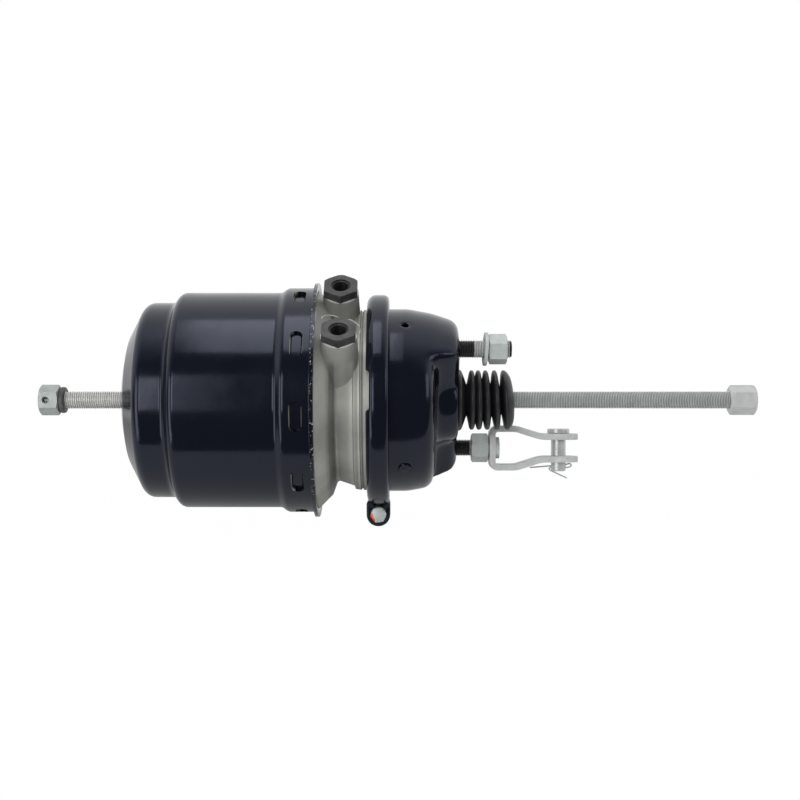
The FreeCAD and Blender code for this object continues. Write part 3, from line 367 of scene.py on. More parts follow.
def reckon(made, kind, *values):
    """One Math node on sockets and numbers."""
    node = add_node(made.node_tree, "ShaderNodeMath", operation=kind)
    for socket, value in zip(node.inputs, values):
        if isinstance(value, (int, float)):
            socket.default_value = value
        else:
            wired(made.node_tree, (value, socket))
    return node.outputs[0]


def product_sum(made, a, b, c, d):
    """a times b plus c times d."""
    return reckon(made, "ADD", reckon(made, "MULTIPLY", a, b), reckon(made, "MULTIPLY", c, d))


def out_from_rod(made, y, z):
    """The distance from the rod's axis."""
    return reckon(made, "SQRT", product_sum(made, y, y, z, z))


# %% Worn paint
LIP_EDGE = (0.1070, 0.1074)
WINDOW_STATION = -0.1525
WINDOW_REACH = 0.0075
WINDOW_RADIUS = 0.0975
BARE_STEEL = (0.36, 0.36, 0.35)
CHIP_EDGE = (0.585, 0.62)
WALL_EDGE = (0.45, 0.30)
RUB_EDGE, RUB_SHARE = (0.40, 0.55), (0.15, 0.9)

worn_paint, shader = finish("worn_paint", tint=PAINT_TINT)
along, across, up = place_of(worn_paint)
reach = out_from_rod(worn_paint, across, up)
lip = ramped(worn_paint, reach, *LIP_EDGE, 0, 1)
chips = ramped(worn_paint, noise(worn_paint, 420, 4, rough=0.7), *CHIP_EDGE, 0, 1)
chipped_lip = reckon(worn_paint, "MULTIPLY", lip, chips)

facing = add_node(worn_paint.node_tree, "ShaderNodeNewGeometry")
normal = add_node(worn_paint.node_tree, "ShaderNodeSeparateXYZ")
wired(worn_paint.node_tree, (facing.outputs["True Normal"], normal.inputs[0]))
sloped = product_sum(worn_paint, normal.outputs["Y"], across, normal.outputs["Z"], up)
outward = reckon(worn_paint, "ABSOLUTE", reckon(worn_paint, "DIVIDE", sloped, reach))
wall = ramped(worn_paint, outward, *WALL_EDGE, 0, 1)
rubbed = ramped(worn_paint, noise(worn_paint, 140, 3), *RUB_EDGE, *RUB_SHARE)
windows = reckon(
    worn_paint, "MULTIPLY",
    reckon(worn_paint, "COMPARE", along, WINDOW_STATION, WINDOW_REACH),
    reckon(worn_paint, "GREATER_THAN", reach, WINDOW_RADIUS),
)
rubbed = reckon(worn_paint, "MULTIPLY", wall, rubbed)
rubbed_walls = reckon(worn_paint, "MULTIPLY", rubbed, windows)
bare = reckon(worn_paint, "MAXIMUM", chipped_lip, rubbed_walls)
painted = blended(worn_paint, noise(worn_paint, 14, 2), *PAINT)
enamelled(worn_paint, shader, blended(worn_paint, bare, painted, BARE_STEEL))
print("worn paint nodes:", len(worn_paint.node_tree.nodes))

# %% [markdown]
# ### Cast aluminium
# The middle body is cast, with turned lands and grooves. A curve along the rod
# lightens and darkens the colour. Turned bands are brighter than the cast skin,
# and the curve also paints light and shade: painted shade in the grooves and on
# the cone, and a painted highlight on the bands that face the front. Each of its
# points is a station in metres and a lightness. The two port bosses stand out of
# those bands, and their faced rims are bright.

# %% The ports' direction
PORT_SIN, PORT_COS = 0.656, 0.755
PORT_OUT = Vector((0, -PORT_SIN, PORT_COS))
PORT_SIDE = Vector((0, -PORT_COS, -PORT_SIN))
PORT_STATION = -0.1061
PORT_OFFSET = 31.5


def towards(made, y, z, way):
    """How far a point lies along a direction square to the rod."""
    return product_sum(made, y, way.y, z, way.z)


print("ports lean by", round(math.degrees(math.atan2(PORT_SIN, PORT_COS)), 1), "degrees")

# %% Cast aluminium
# Lightness by station: brighter turned bands, with painted shade in the grooves and on the cone and
# a painted highlight on the bands that face the front.
BANDS_AND_SHADE = (
    (-0.1272, 1.25), (-0.1188, 1.25), (-0.1154, 0.80), (-0.1119, 0.60),
    (-0.1108, 0.66), (-0.1100, 0.95), (-0.1067, 0.95), (-0.0998, 1.05),
    (-0.0955, 1.35), (-0.0935, 1.05), (-0.0912, 0.75), (-0.0895, 1.35),
    (-0.0876, 0.90), (-0.0861, 0.40), (-0.0848, 1.25), (-0.0830, 1.20),
)
TONE_SPAN = 2.0
CAST = ((0.285, 0.285, 0.262), (0.42, 0.42, 0.39))
FACED = (0.72, 0.72, 0.70)
BOSS_FOOT = (0.079, 0.085)
BOSS_RIM = (0.0990, 0.0996)

cast, shader = finish("cast_aluminium", metallic=0.45)
along, across, up = place_of(cast)
tone = add_node(cast.node_tree, "ShaderNodeFloatCurve")
curve = tone.mapping.curves[0]
first, last = BANDS_AND_SHADE[0][0], BANDS_AND_SHADE[-1][0]
curve.points[0].location = (0, BANDS_AND_SHADE[0][1] / TONE_SPAN)
curve.points[1].location = (1, BANDS_AND_SHADE[-1][1] / TONE_SPAN)
for station, light in BANDS_AND_SHADE[1:-1]:
    curve.points.new((station - first) / (last - first), light / TONE_SPAN)
for point in curve.points:
    point.handle_type = "VECTOR"
tone.mapping.update()
wired(cast.node_tree, (ramped(cast, along, first, last, 0, 1), tone.inputs["Value"]))

plain = blended(cast, cloudy(cast, 30, 6), *CAST)
# The cast colour scaled by the curve, so it carries the painted light and shade.
banded_and_shaded = add_node(cast.node_tree, "ShaderNodeVectorMath", operation="SCALE")
lightness = reckon(cast, "MULTIPLY", tone.outputs[0], TONE_SPAN)
wired(cast.node_tree, (plain, banded_and_shaded.inputs[0]), (lightness, banded_and_shaded.inputs["Scale"]))
height = towards(cast, across, up, PORT_OUT)
skin = blended(cast, ramped(cast, height, *BOSS_FOOT, 0, 1), banded_and_shaded.outputs[0], plain)
colour = blended(cast, ramped(cast, height, *BOSS_RIM, 0, 1), skin, FACED)
surface(cast, shader, colour, cloudy(cast, 150, 4, 0.40, 0.56))
bumped(cast, shader, noise(cast, 900, 5, rough=0.65), 0.00016, 0.45)
bumped(cast, shader, noise(cast, 90, 3), 0.0004, 0.3)
print("tone stations:", len(BANDS_AND_SHADE))

# %% [markdown]
# ### Plated and bare metal
# The nuts, the clevis and the rods are zinc plated, slightly green and mottled.
# One helper mottles any metal between two colours. The roots of a thread are
# darkened with painted shade: the thread helper further down writes how deep
# each point lies as an attribute, and the finish darkens by it, which no noise
# could do as exactly.

# %% Plated metal
PAINTED_SHADE = (0.012, 0.012, 0.012)


def plated(name, dark, light, roughness, metallic=0.35, root_shade=0.0):
    """A metal finish between two colours, with painted shade in a thread's roots."""
    made, shader = finish(name, metallic=metallic)
    colour = blended(made, cloudy(made, 120, 4), dark, light)
    # Painted shade: the colour darkens towards near black by the depth of a thread's root.
    if root_shade:
        root = add_node(made.node_tree, "ShaderNodeAttribute", attribute_name="root")
        deep = ramped(made, root.outputs["Fac"], 0.15, 0.85, 0, root_shade)
        colour = blended(made, deep, colour, PAINTED_SHADE)
    surface(made, shader, colour, cloudy(made, 200, 3, *roughness))
    bumped(made, shader, noise(made, 1500, 3), 0.00004, 0.3)
    return made


ZINC = ((0.47, 0.515, 0.50), (0.58, 0.62, 0.60))
zinc = plated("zinc_plate", *ZINC, (0.40, 0.52))
pale_zinc = plated("pale_zinc", (0.56, 0.58, 0.575), (0.68, 0.70, 0.69), (0.42, 0.55))
dull_zinc = plated("dull_zinc", (0.34, 0.37, 0.36), (0.44, 0.475, 0.46), (0.40, 0.52))
pin_zinc = plated("pin_zinc", (0.58, 0.60, 0.59), (0.68, 0.70, 0.69), (0.26, 0.36), metallic=0.55)
print("plated finishes:", [made.name for made in (zinc, pale_zinc, dull_zinc, pin_zinc)])

# %% Threads and steel
zinc_thread = plated(
    "zinc_thread", (0.62, 0.645, 0.635), (0.76, 0.785, 0.775), (0.34, 0.46), root_shade=0.60
)
bright_thread = plated(
    "bright_thread", (0.70, 0.70, 0.69), (0.84, 0.84, 0.83), (0.30, 0.42), root_shade=0.45
)
black_thread = plated(
    "black_thread", (0.035, 0.035, 0.041), (0.075, 0.075, 0.083), (0.24, 0.34), root_shade=0.9
)
# A paler cast for the casting ridge; its brightness there is a painted highlight.
ridge_highlight_cast = plated("ridge_highlight_cast", (0.66, 0.66, 0.64), (0.80, 0.80, 0.78), (0.35, 0.5))
dark_cast = plated("dark_cast", (0.045, 0.046, 0.050), (0.085, 0.086, 0.092), (0.28, 0.40))
dark_steel = plated("dark_steel", (0.06, 0.06, 0.06), (0.12, 0.12, 0.118), (0.35, 0.5))
print("thread finishes:", [made.name for made in (zinc_thread, bright_thread, black_thread)])

# %% [markdown]
# ### Port adaptors
# The two hexagonal adaptors are dark grey steel, and their mouths look black
# because little light comes back out. The mouth is a circle round each port's
# axis. Both ports lie at the same distance from the middle, so one mask on the
# size of the sideways distance serves the two.


# %% Adaptor finish
def overlaid(made, share, colour):
    """Lay one more colour over the base colour that a finish already has."""
    base = made.node_tree.nodes["Principled BSDF"].inputs["Base Color"]
    under = base.links[0].from_socket
    wired(made.node_tree, (blended(made, share, under, colour), base))


MOUTH_EDGE = (0.0090, 0.0086)
adaptor = plated("adaptor_grey", (0.034, 0.035, 0.035), (0.072, 0.073, 0.072), (0.26, 0.40))
along, across, up = place_of(adaptor)
sideways = reckon(adaptor, "ABSOLUTE", towards(adaptor, across, up, PORT_SIDE))
sideways = reckon(adaptor, "SUBTRACT", sideways, PORT_OFFSET / 1000)
lengthways = reckon(adaptor, "SUBTRACT", along, PORT_STATION)
from_port = out_from_rod(adaptor, lengthways, sideways)
# The black of the mouth is painted shade.
overlaid(adaptor, ramped(adaptor, from_port, *MOUTH_EDGE, 0, 1), PAINTED_SHADE)
print("adaptor nodes:", len(adaptor.node_tree.nodes))

# %% [markdown]
# ### Rubber and plastic
# The boot, the seals and the guides are moulded, matt and almost black. They
# differ only in shade and in how matt they are, so one helper makes all three.


# %% Rubber and plastic
def matt(name, dark, light, roughness):
    """A matt moulded finish."""
    made, shader = finish(name)
    colour = blended(made, noise(made, 80, 4), dark, light)
    surface(made, shader, colour, cloudy(made, 250, 3, *roughness))
    bumped(made, shader, noise(made, 700, 4), 0.00008, 0.5)
    return made


rubber = matt("boot_rubber", (0.011, 0.011, 0.0135), (0.020, 0.020, 0.024), (0.34, 0.48))
seal_rubber = matt("seal_rubber", (0.012, 0.012, 0.012), (0.03, 0.03, 0.03), (0.5, 0.7))
nylon = matt("guide_nylon", (0.04, 0.04, 0.042), (0.07, 0.07, 0.072), (0.4, 0.55))
print("moulded finishes:", [made.name for made in (rubber, seal_rubber, nylon)])

# %% [markdown]
# ### Finishes of the CAD nodes
# Most CAD nodes already have the right shape and only need their finish. Their
# meshes and places are never touched: the material list of each is emptied, and
# its finish goes in.

# %% Finishes of the CAD nodes
# Nodes that a new piece replaces below keep a finish of their own as well.
FINISH = {
    "spring_housing": worn_paint, "collar_ring": paint, "clamp_ring": paint,
    "service_housing": paint, "drain_plug": paint, "flange_body": cast,
    "flange_seal": seal_rubber, "diaphragm": seal_rubber, "piston_seal": seal_rubber,
    "tube_bush": nylon, "piston_band": nylon, "bolt_guide": nylon,
    "port_adaptor_lower": adaptor, "port_adaptor_upper": adaptor,
    "clamp_bolt": zinc, "clamp_nut": zinc, "stud_nuts": zinc, "stud_washer": zinc,
    "mounting_studs": zinc_thread, "pushrod": zinc_thread, "pushrod_nut": pale_zinc,
    "release_bolt": bright_thread, "release_nut": dull_zinc, "release_pin": dark_steel,
    "release_washer": dark_steel, "thrust_washer": dark_steel,
    "clevis_fork": pale_zinc, "clevis_collar": zinc, "clevis_pin": pin_zinc,
    "split_pin": zinc, "spring_piston": dark_cast, "piston_tube": zinc,
    "push_plate": zinc, "parking_spring": dark_steel, "return_spring": dark_steel,
    "bellows": rubber,
}
for name, made in FINISH.items():
    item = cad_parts[name]
    item.data.materials.clear()
    item.data.materials.append(made)
print("finished nodes:", len(FINISH), "of", len(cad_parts))

# %% [markdown]
# ## Shaping tools
# A few habits of work repeat in every piece, so each gets a helper: select one
# object only, move an object's place into its mesh, apply a modifier, shade
# smooth, and mend a mesh. Mending merges doubled points, closes open ends and
# turns all faces outwards.


# %% Selecting, placing and mending
def alone(item):
    """Select one object only, and make it the active one."""
    if bpy.context.mode != "OBJECT":
        bpy.ops.object.mode_set(mode="OBJECT")
    bpy.ops.object.select_all(action="DESELECT")
    item.select_set(True)
    bpy.context.view_layer.objects.active = item


def settle(item):
    """Move an object's place into its mesh, so that it sits at the origin."""
    alone(item)
    bpy.ops.object.transform_apply(location=True, rotation=True, scale=True)


def carve(item, kind, **settings):
    """Add one modifier with its settings, and apply it."""
    alone(item)
    modifier = item.modifiers.new(kind.title(), kind)
    for key, value in settings.items():
        setattr(modifier, key, value)
    bpy.ops.object.modifier_apply(modifier=modifier.name)


def smooth(item, angle=40):
    """Smooth shading that keeps edges sharper than the angle."""
    alone(item)
    bpy.ops.object.shade_smooth_by_angle(angle=math.radians(angle))


def mend(item, merge=0.0, close=False):
    """Merge doubled points, close open ends, and turn the faces outwards."""
    alone(item)
    bpy.ops.object.mode_set(mode="EDIT")
    bpy.ops.mesh.select_all(action="SELECT")
    if merge:
        bpy.ops.mesh.remove_doubles(threshold=merge)
    if close:
        bpy.ops.mesh.fill_holes(sides=0)
    bpy.ops.mesh.select_all(action="SELECT")
    bpy.ops.mesh.normals_make_consistent(inside=False)
    bpy.ops.object.mode_set(mode="OBJECT")


def joined(name, items):
    """Join objects that belong to one piece."""
    bpy.ops.object.select_all(action="DESELECT")
    for item in items:
        item.select_set(True)
    bpy.context.view_layer.objects.active = items[0]
    bpy.ops.object.join()
    items[0].name = name
    return items[0]


def eased(value, start, width):
    """Rise from 0 to 1 over a width that begins at a start."""
    return min(max((value - start) / width, 0), 1)


# %% [markdown]
# ### Round pieces
# Shanks, heads and the boot are turned shapes. A profile could be spun, but
# extruding a circle from station to station and scaling each new ring to its
# radius leaves clean rings and needs no pole at the axis.


# %% Round pieces
def round_piece(name, outline, sides=48):
    """Extrude a circle along X through (station, radius) pairs in millimetres."""
    bpy.ops.object.select_all(action="DESELECT")
    x, r = outline[0]
    bpy.ops.mesh.primitive_circle_add(
        vertices=sides, radius=r / 1000, location=(x / 1000, 0, 0), rotation=(0, math.pi / 2, 0)
    )
    item = bpy.context.object
    item.name = name
    settle(item)
    bpy.ops.object.mode_set(mode="EDIT")
    bpy.ops.mesh.select_all(action="SELECT")
    for (x0, r0), (x1, r1) in zip(outline, outline[1:]):
        step = ((x1 - x0) / 1000, 0, 0)
        bpy.ops.mesh.extrude_edges_move(TRANSFORM_OT_translate={"value": step})
        if r1 != r0:
            size = (1, r1 / r0, r1 / r0)
            bpy.ops.transform.resize(value=size, center_override=(x1 / 1000, 0, 0))
    mend(item, merge=1e-6, close=True)
    return item


# %% [markdown]
# ### Threads
# A screw thread could be a bump, but its outline shows against the white
# background, so it is real. The profile is a flat root, a rising flank, a flat
# crest and a falling flank, each given as a share of the pitch and of the
# depth. The Screw modifier winds it, both ends are cut off flat, and the turns
# near them are pressed down to a chamfer. The depth of each point below the
# crest is kept as the attribute for the painted shade in the roots.

# %% Threads
THREAD_DEPTH = 0.6134
FLANKS = ((0.25, 0), (0.3125, 1), (0.125, 0), (0.3125, -1))


def thread(name, start, end, radius, pitch, chamfer=1.2, sides=36):
    """A closed bar with a real thread from start to end, in millimetres, about the X axis."""
    depth = pitch * THREAD_DEPTH
    place = ((start - 2 * pitch) / 1000, 0, (radius - depth) / 1000)
    bpy.ops.object.select_all(action="DESELECT")
    bpy.ops.mesh.primitive_plane_add(size=pitch / 4000, location=place)
    item = bpy.context.object
    item.name = name
    settle(item)
    bpy.ops.object.mode_set(mode="EDIT")
    bpy.ops.mesh.select_all(action="SELECT")
    # The small plane shrinks to one point, and that point draws the profile.
    bpy.ops.mesh.merge(type="CENTER")
    for along, rise in FLANKS:
        step = (along * pitch / 1000, 0, rise * depth / 1000)
        bpy.ops.mesh.extrude_vertices_move(TRANSFORM_OT_translate={"value": step})
    bpy.ops.object.mode_set(mode="OBJECT")
    carve(
        item, "SCREW", axis="X", angle=2 * math.pi, screw_offset=pitch / 1000, steps=sides,
        render_steps=sides, iterations=math.ceil((end - start) / pitch) + 4,
        use_merge_vertices=True, merge_threshold=1e-6,
    )
    bpy.ops.object.mode_set(mode="EDIT")
    for station, side in ((start, "clear_inner"), (end, "clear_outer")):
        bpy.ops.mesh.select_all(action="SELECT")
        bpy.ops.mesh.bisect(
            plane_co=(station / 1000, 0, 0), plane_no=(1, 0, 0), use_fill=True, **{side: True}
        )
    mend(item, merge=1e-7)
    # Near an end, no point may stand further out than the chamfer's slope.
    for vertex in item.data.vertices:
        spot = vertex.co
        from_end = min(end / 1000 - spot.x, spot.x - start / 1000)
        limit = (radius - chamfer) / 1000 + max(from_end, 0)
        out = math.hypot(spot.y, spot.z)
        if out > limit:
            spot.y *= limit / out
            spot.z *= limit / out
    roots = item.data.attributes.new("root", "FLOAT", "POINT")
    for vertex, value in zip(item.data.vertices, roots.data):
        out = math.hypot(vertex.co.y, vertex.co.z)
        value.value = min(max((radius / 1000 - out) / (depth / 1000), 0), 1)
    smooth(item, 35)
    return item


# %% [markdown]
# ## Push rod
# The rod is an M16 bar with a 1.5 mm pitch from the boot to its end nut. The
# stretch behind the boot, up to the push plate, is plain, so it is turned, and
# only the outer stretch is threaded. Both make one piece.

# %% Push rod
BOLT_RADIUS = 8.0
FINE_PITCH = 1.5
rod_low, rod_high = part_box("pushrod")
rod_start = rod_low.x * 1000
rod_plain = round_piece(
    "rod_plain", [(rod_start, 6.5), (rod_start + 1, 7.9), (45.5, 7.9), (46, 6.8)]
)
smooth(rod_plain)
rod_thread = thread("rod_thread", 45.8, rod_high.x * 1000, BOLT_RADIUS, FINE_PITCH, chamfer=1.3)
push_rod = joined("push_rod", [rod_plain, rod_thread])
push_rod.data.materials.append(zinc_thread)
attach(push_rod, "pushrod")
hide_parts("pushrod")
print("push rod faces:", len(push_rod.data.polygons))

# %% [markdown]
# ## Mounting studs
# Two studs come out of the mounting face, on a slanted line through its middle.
# The housing was painted with the studs in place, so their first turns and the
# near one's tip are black, and only the stretch that the nuts ran over is
# clean. That is a change of finish along one part, so each face gets one of two
# materials by its station. The far stud ends level with the clevis collar that
# is parked on it.

# %% Studs
STUD_CLOCK = math.radians(41)
STUD_CIRCLE = 60.325
STUD_FOOT = [(-8.0, 11.5), (-7.2, 12.3), (-3.6, 12.3), (-3.6, 9.3), (-0.4, 9.3)]
CLEAN = (0.0128, 0.0445)
stud_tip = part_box("mounting_studs")[1].x * 1000
stud_y, stud_z = STUD_CIRCLE * math.sin(STUD_CLOCK), STUD_CIRCLE * math.cos(STUD_CLOCK)
STUDS = {"stud_near": (-stud_y, stud_z, stud_tip), "stud_far": (stud_y, -stud_z, 41.2)}
for name, (y, z, tip) in STUDS.items():
    shank = round_piece(name + "_shank", STUD_FOOT)
    smooth(shank)
    bar = thread(name + "_thread", -0.6, tip, BOLT_RADIUS - 0.05, FINE_PITCH)
    made = joined(name, [shank, bar])
    made.location = (0, y / 1000, z / 1000)
    settle(made)
    made.data.materials.append(black_thread)
    made.data.materials.append(zinc_thread)
    for face in made.data.polygons:
        face.material_index = 1 if CLEAN[0] < face.center.x < CLEAN[1] else 0
    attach(made, "chamber")
    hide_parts("mounting_studs")
    print(name, [round(v * 1000, 1) for v in made.bound_box[6]])

# %% [markdown]
# ## Release bolt
# The release bolt is wound out, so its bright thread shows between the domed
# end and the small hexagon. Inside, its head rests against the piston. Its
# pitch is the coarse 2 mm, so its turns look wider than the push rod's.

# %% Release bolt
COARSE_PITCH = 2.0
bolt_low, bolt_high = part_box("release_bolt")
bolt_end = bolt_high.x * 1000
bolt_head = round_piece(
    "bolt_head",
    [(bolt_end - 9, 7.5), (bolt_end - 9, 13.8), (bolt_end - 1, 13.8), (bolt_end, 12.8)],
)
smooth(bolt_head)
bolt_thread = thread(
    "bolt_thread", bolt_low.x * 1000 + 0.1, bolt_end - 8.9, BOLT_RADIUS, COARSE_PITCH
)
release_bolt = joined("release_screw", [bolt_thread, bolt_head])
release_bolt.data.materials.append(bright_thread)
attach(release_bolt, "release_spindle")
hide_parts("release_bolt")
print("release bolt in mm:", [round(v * 1000, 1) for v in (bolt_low.x, bolt_high.x)])

# %% [markdown]
# ## Rubber boot
# The boot keeps dirt off the rod. It is black rubber with five round folds that
# are squeezed unevenly, and it leans a little towards its end. A row of rings
# could be lofted, but the skin is one turned profile, so it is drawn once from
# base to cuff. Its end caps are deleted, Solidify gives it its wall, and one
# subdivision softens it.

# %% Boot
RIDGES = (12.8, 19.2, 26.4, 35.0, 43.9)
VALLEYS = (14.5, 22.0, 19.5, 15.0, 12.6)
FOLD = ((-2.6, 23.8), (-2.3, 25.9), (-1.3, 27.4), (0, 27.8), (1.3, 27.4), (2.3, 25.9), (2.6, 23.8))
BOOT_BASE = [(-0.7, 22.5), (-0.7, 28.6), (0.8, 28.5), (2.6, 27.8), (4.0, 26.2)]
BOOT_CUFF = [(46.2, 26.4), (48.2, 24.6), (49.9, 21.0), (50.9, 16.0), (51.3, 11.0), (51.4, 8.9)]
boot_outline = list(BOOT_BASE)
for ridge, valley, before in zip(RIDGES, VALLEYS, (3.2, *RIDGES)):
    middle = (ridge + before) / 2
    boot_outline += [(middle - 0.35, valley + 0.8), (middle, valley), (middle + 0.35, valley + 0.8)]
    fold = FOLD[:5] if ridge == RIDGES[-1] else FOLD
    boot_outline += [(ridge + along, radius) for along, radius in fold]
boot = round_piece("rubber_boot", boot_outline + BOOT_CUFF, 64)
print("boot profile points:", len(boot_outline + BOOT_CUFF))

# %% Boot's wall and lean
WALL = 0.0014
LEAN = 0.07
LEAN_START = (0.012, 0.032)
bpy.ops.object.mode_set(mode="EDIT")
bpy.ops.mesh.select_all(action="DESELECT")
bpy.ops.mesh.select_mode(type="FACE")
bpy.ops.object.mode_set(mode="OBJECT")
# The two end caps are the only faces with more than four corners.
for face in boot.data.polygons:
    face.select = len(face.vertices) > 4
bpy.ops.object.mode_set(mode="EDIT")
bpy.ops.mesh.delete(type="ONLY_FACE")
bpy.ops.object.mode_set(mode="OBJECT")
carve(boot, "SOLIDIFY", thickness=WALL, offset=-1)
carve(boot, "SUBSURF", levels=1, render_levels=1)
for vertex in boot.data.vertices:
    vertex.co.x -= vertex.co.z * (LEAN * eased(vertex.co.x, *LEAN_START))
smooth(boot, 60)
boot.data.materials.append(rubber)
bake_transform(boot)
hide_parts("bellows")
print("boot faces:", len(boot.data.polygons))

# %% [markdown]
# ## Diaphragm and return spring
# These two work inside the service chamber. The rubber diaphragm is held at
# its rim and follows the push plate in the middle, and the light spring
# between plate and housing shortens as the rod goes out. A merged copy of the
# diaphragm and a newly wound spring take the places of the CAD nodes. The
# spring is a circle wound by the Screw modifier, by a helper that the port
# threads use later.


# %% Diaphragm
def copy_of(node, name):
    """A merged copy of a CAD node's mesh, as a new object with the same finish."""
    made = bpy.data.objects.new(name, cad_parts[node].data.copy())
    bpy.context.scene.collection.objects.link(made)
    alone(made)
    bpy.ops.object.mode_set(mode="EDIT")
    bpy.ops.mesh.select_all(action="SELECT")
    bpy.ops.mesh.remove_doubles(threshold=1e-6)
    bpy.ops.object.mode_set(mode="OBJECT")
    return made


skin = copy_of("diaphragm", "diaphragm_skin")
smooth(skin, 40)
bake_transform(skin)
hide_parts("diaphragm")
print("diaphragm faces:", len(skin.data.polygons))


# %% Return spring
def helix(name, wire_radius, sides, place, axis, turns, rise, steps):
    """A round wire wound about an axis, closed at both ends."""
    bpy.ops.object.select_all(action="DESELECT")
    bpy.ops.mesh.primitive_circle_add(
        vertices=sides, radius=wire_radius, location=place, rotation=(math.pi / 2, 0, 0)
    )
    item = bpy.context.object
    item.name = name
    settle(item)
    carve(
        item, "SCREW", axis=axis, angle=turns * 2 * math.pi, screw_offset=rise,
        steps=turns * steps, render_steps=turns * steps, iterations=1,
    )
    mend(item, close=True)
    return item


SPRING_WIRE = 0.0018
SPRING_RADIUS = 0.029
coil_low, coil_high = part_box("return_spring")
length = coil_high.x - coil_low.x - 2 * SPRING_WIRE
start = (coil_low.x + SPRING_WIRE, 0, SPRING_RADIUS)
coil = helix("return_coil", SPRING_WIRE, 10, start, "X", turns=5, rise=length, steps=36)
smooth(coil, 60)
coil.data.materials.append(dark_steel)
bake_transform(coil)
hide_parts("return_spring")
print("spring length in mm:", round(length * 1000, 1))

# %% [markdown]
# ## Service housing
# On the real housing the deep-drawn sheet flows from the dome into the
# mounting bridge without a hard line. The CAD solid has the right form with
# crisp joints, so a merged copy of it is remeshed into even quads, and two
# vertex groups say where it may move: nowhere near the studs, the boot and the
# rim, and furthest on the flanks of the bridge. Each limit is a place where the
# freedom begins and the width over which it grows, and it is read on the
# negative coordinate where the freedom grows the other way.

# %% Service housing, remeshed and weighted
RIM_CLEAR = (-0.050, 0.008)
STUD_CLEAR = (0.012, 0.006)
BOOT_CLEAR = (0.031, 0.004)
BOOT_REACH = -0.008
FLANK_LOW, FLANK_HIGH = (-0.060, 0.020), (-0.078, 0.016)
FACE_CLEAR = (0.001, 0.006)

cover = copy_of("service_housing", "service_cover")
carve(cover, "REMESH", mode="VOXEL", voxel_size=0.0013)
relax = cover.vertex_groups.new(name="relax")
flow = cover.vertex_groups.new(name="flow")
for vertex in cover.data.vertices:
    x, y, z = vertex.co
    weight = eased(x, *RIM_CLEAR)
    for at_y, at_z, _ in STUDS.values():
        weight *= eased(math.hypot(y - at_y / 1000, z - at_z / 1000), *STUD_CLEAR)
    if x > BOOT_REACH:
        weight *= eased(math.hypot(y, z), *BOOT_CLEAR)
    relax.add([vertex.index], weight, "REPLACE")
    weight *= eased(z, *FLANK_LOW) * eased(-z, *FLANK_HIGH)
    weight *= eased(-x, *FACE_CLEAR)
    flow.add([vertex.index], weight, "REPLACE")
print("service housing faces:", len(cover.data.polygons))

# %% [markdown]
# Smoothing alone would wear the outer form down. So a second copy is relaxed a
# lot, and wherever it lies outside the first, which happens only in hollows,
# the first follows it. That fills the sharp inner corners and leaves the outer
# form alone.

# %% Service housing, softened
carve(cover, "SMOOTH", factor=0.5, iterations=10, vertex_group="relax")
carve(cover, "SMOOTH", factor=0.5, iterations=90, vertex_group="flow")
relaxed = bpy.data.objects.new("relaxed", cover.data.copy())
bpy.context.scene.collection.objects.link(relaxed)
carve(relaxed, "SMOOTH", factor=0.5, iterations=150, vertex_group="relax")
normals = [vertex.normal.copy() for vertex in cover.data.vertices]
for vertex, goal, normal in zip(cover.data.vertices, relaxed.data.vertices, normals):
    lift = (goal.co - vertex.co).dot(normal)
    if lift > 0:
        vertex.co += normal * lift
bpy.data.objects.remove(relaxed)
carve(cover, "SMOOTH", factor=0.5, iterations=4, vertex_group="relax")
smooth(cover, 60)
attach(cover, "chamber")
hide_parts("service_housing")
print("service housing materials:", [made.name for made in cover.data.materials])

# %% [markdown]
# ## Clevis
# The clevis is bent from thick strip, and its edges are round. A bevel would
# have to find its way round every bend and hole. Remeshing a merged copy finely
# and smoothing it rounds them all alike, by about a voxel.


# %% Clevis
def rounded_copy(node, name, voxel, passes):
    """A copy of a CAD node whose edges are rounded by remeshing and smoothing."""
    made = copy_of(node, name)
    carve(made, "REMESH", mode="VOXEL", voxel_size=voxel)
    carve(made, "SMOOTH", factor=0.5, iterations=passes)
    smooth(made, 60)
    print(name, "faces:", len(made.data.polygons))
    return made


fork = rounded_copy("clevis_fork", "forged_clevis", voxel=0.0007, passes=7)
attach(fork, "chamber")
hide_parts("clevis_fork")

# %% [markdown]
# ## Split pin
# The split pin is one wire: it runs straight through the clevis pin, turns back
# in a small eye, and its second leg is bent down and away. A curve through the
# points of that path, with a round bevel, is the quickest way to bend a wire.


# %% Split pin
def wire(name, points, radius):
    """A bent round wire through points in millimetres, smooth at the bends."""
    path = bpy.data.curves.new(name, "CURVE")
    path.dimensions = "3D"
    path.bevel_depth = radius / 1000
    path.bevel_resolution = 3
    path.use_fill_caps = True
    line = path.splines.new("NURBS")
    line.points.add(len(points) - 1)
    for knot, point in zip(line.points, points):
        knot.co = (*(v / 1000 for v in point), 1)
    line.use_endpoint_u = True
    line.order_u = 3
    line.resolution_u = 6
    made = bpy.data.objects.new(name, path)
    bpy.context.scene.collection.objects.link(made)
    alone(made)
    bpy.ops.object.convert(target="MESH")
    smooth(made, 60)
    return made


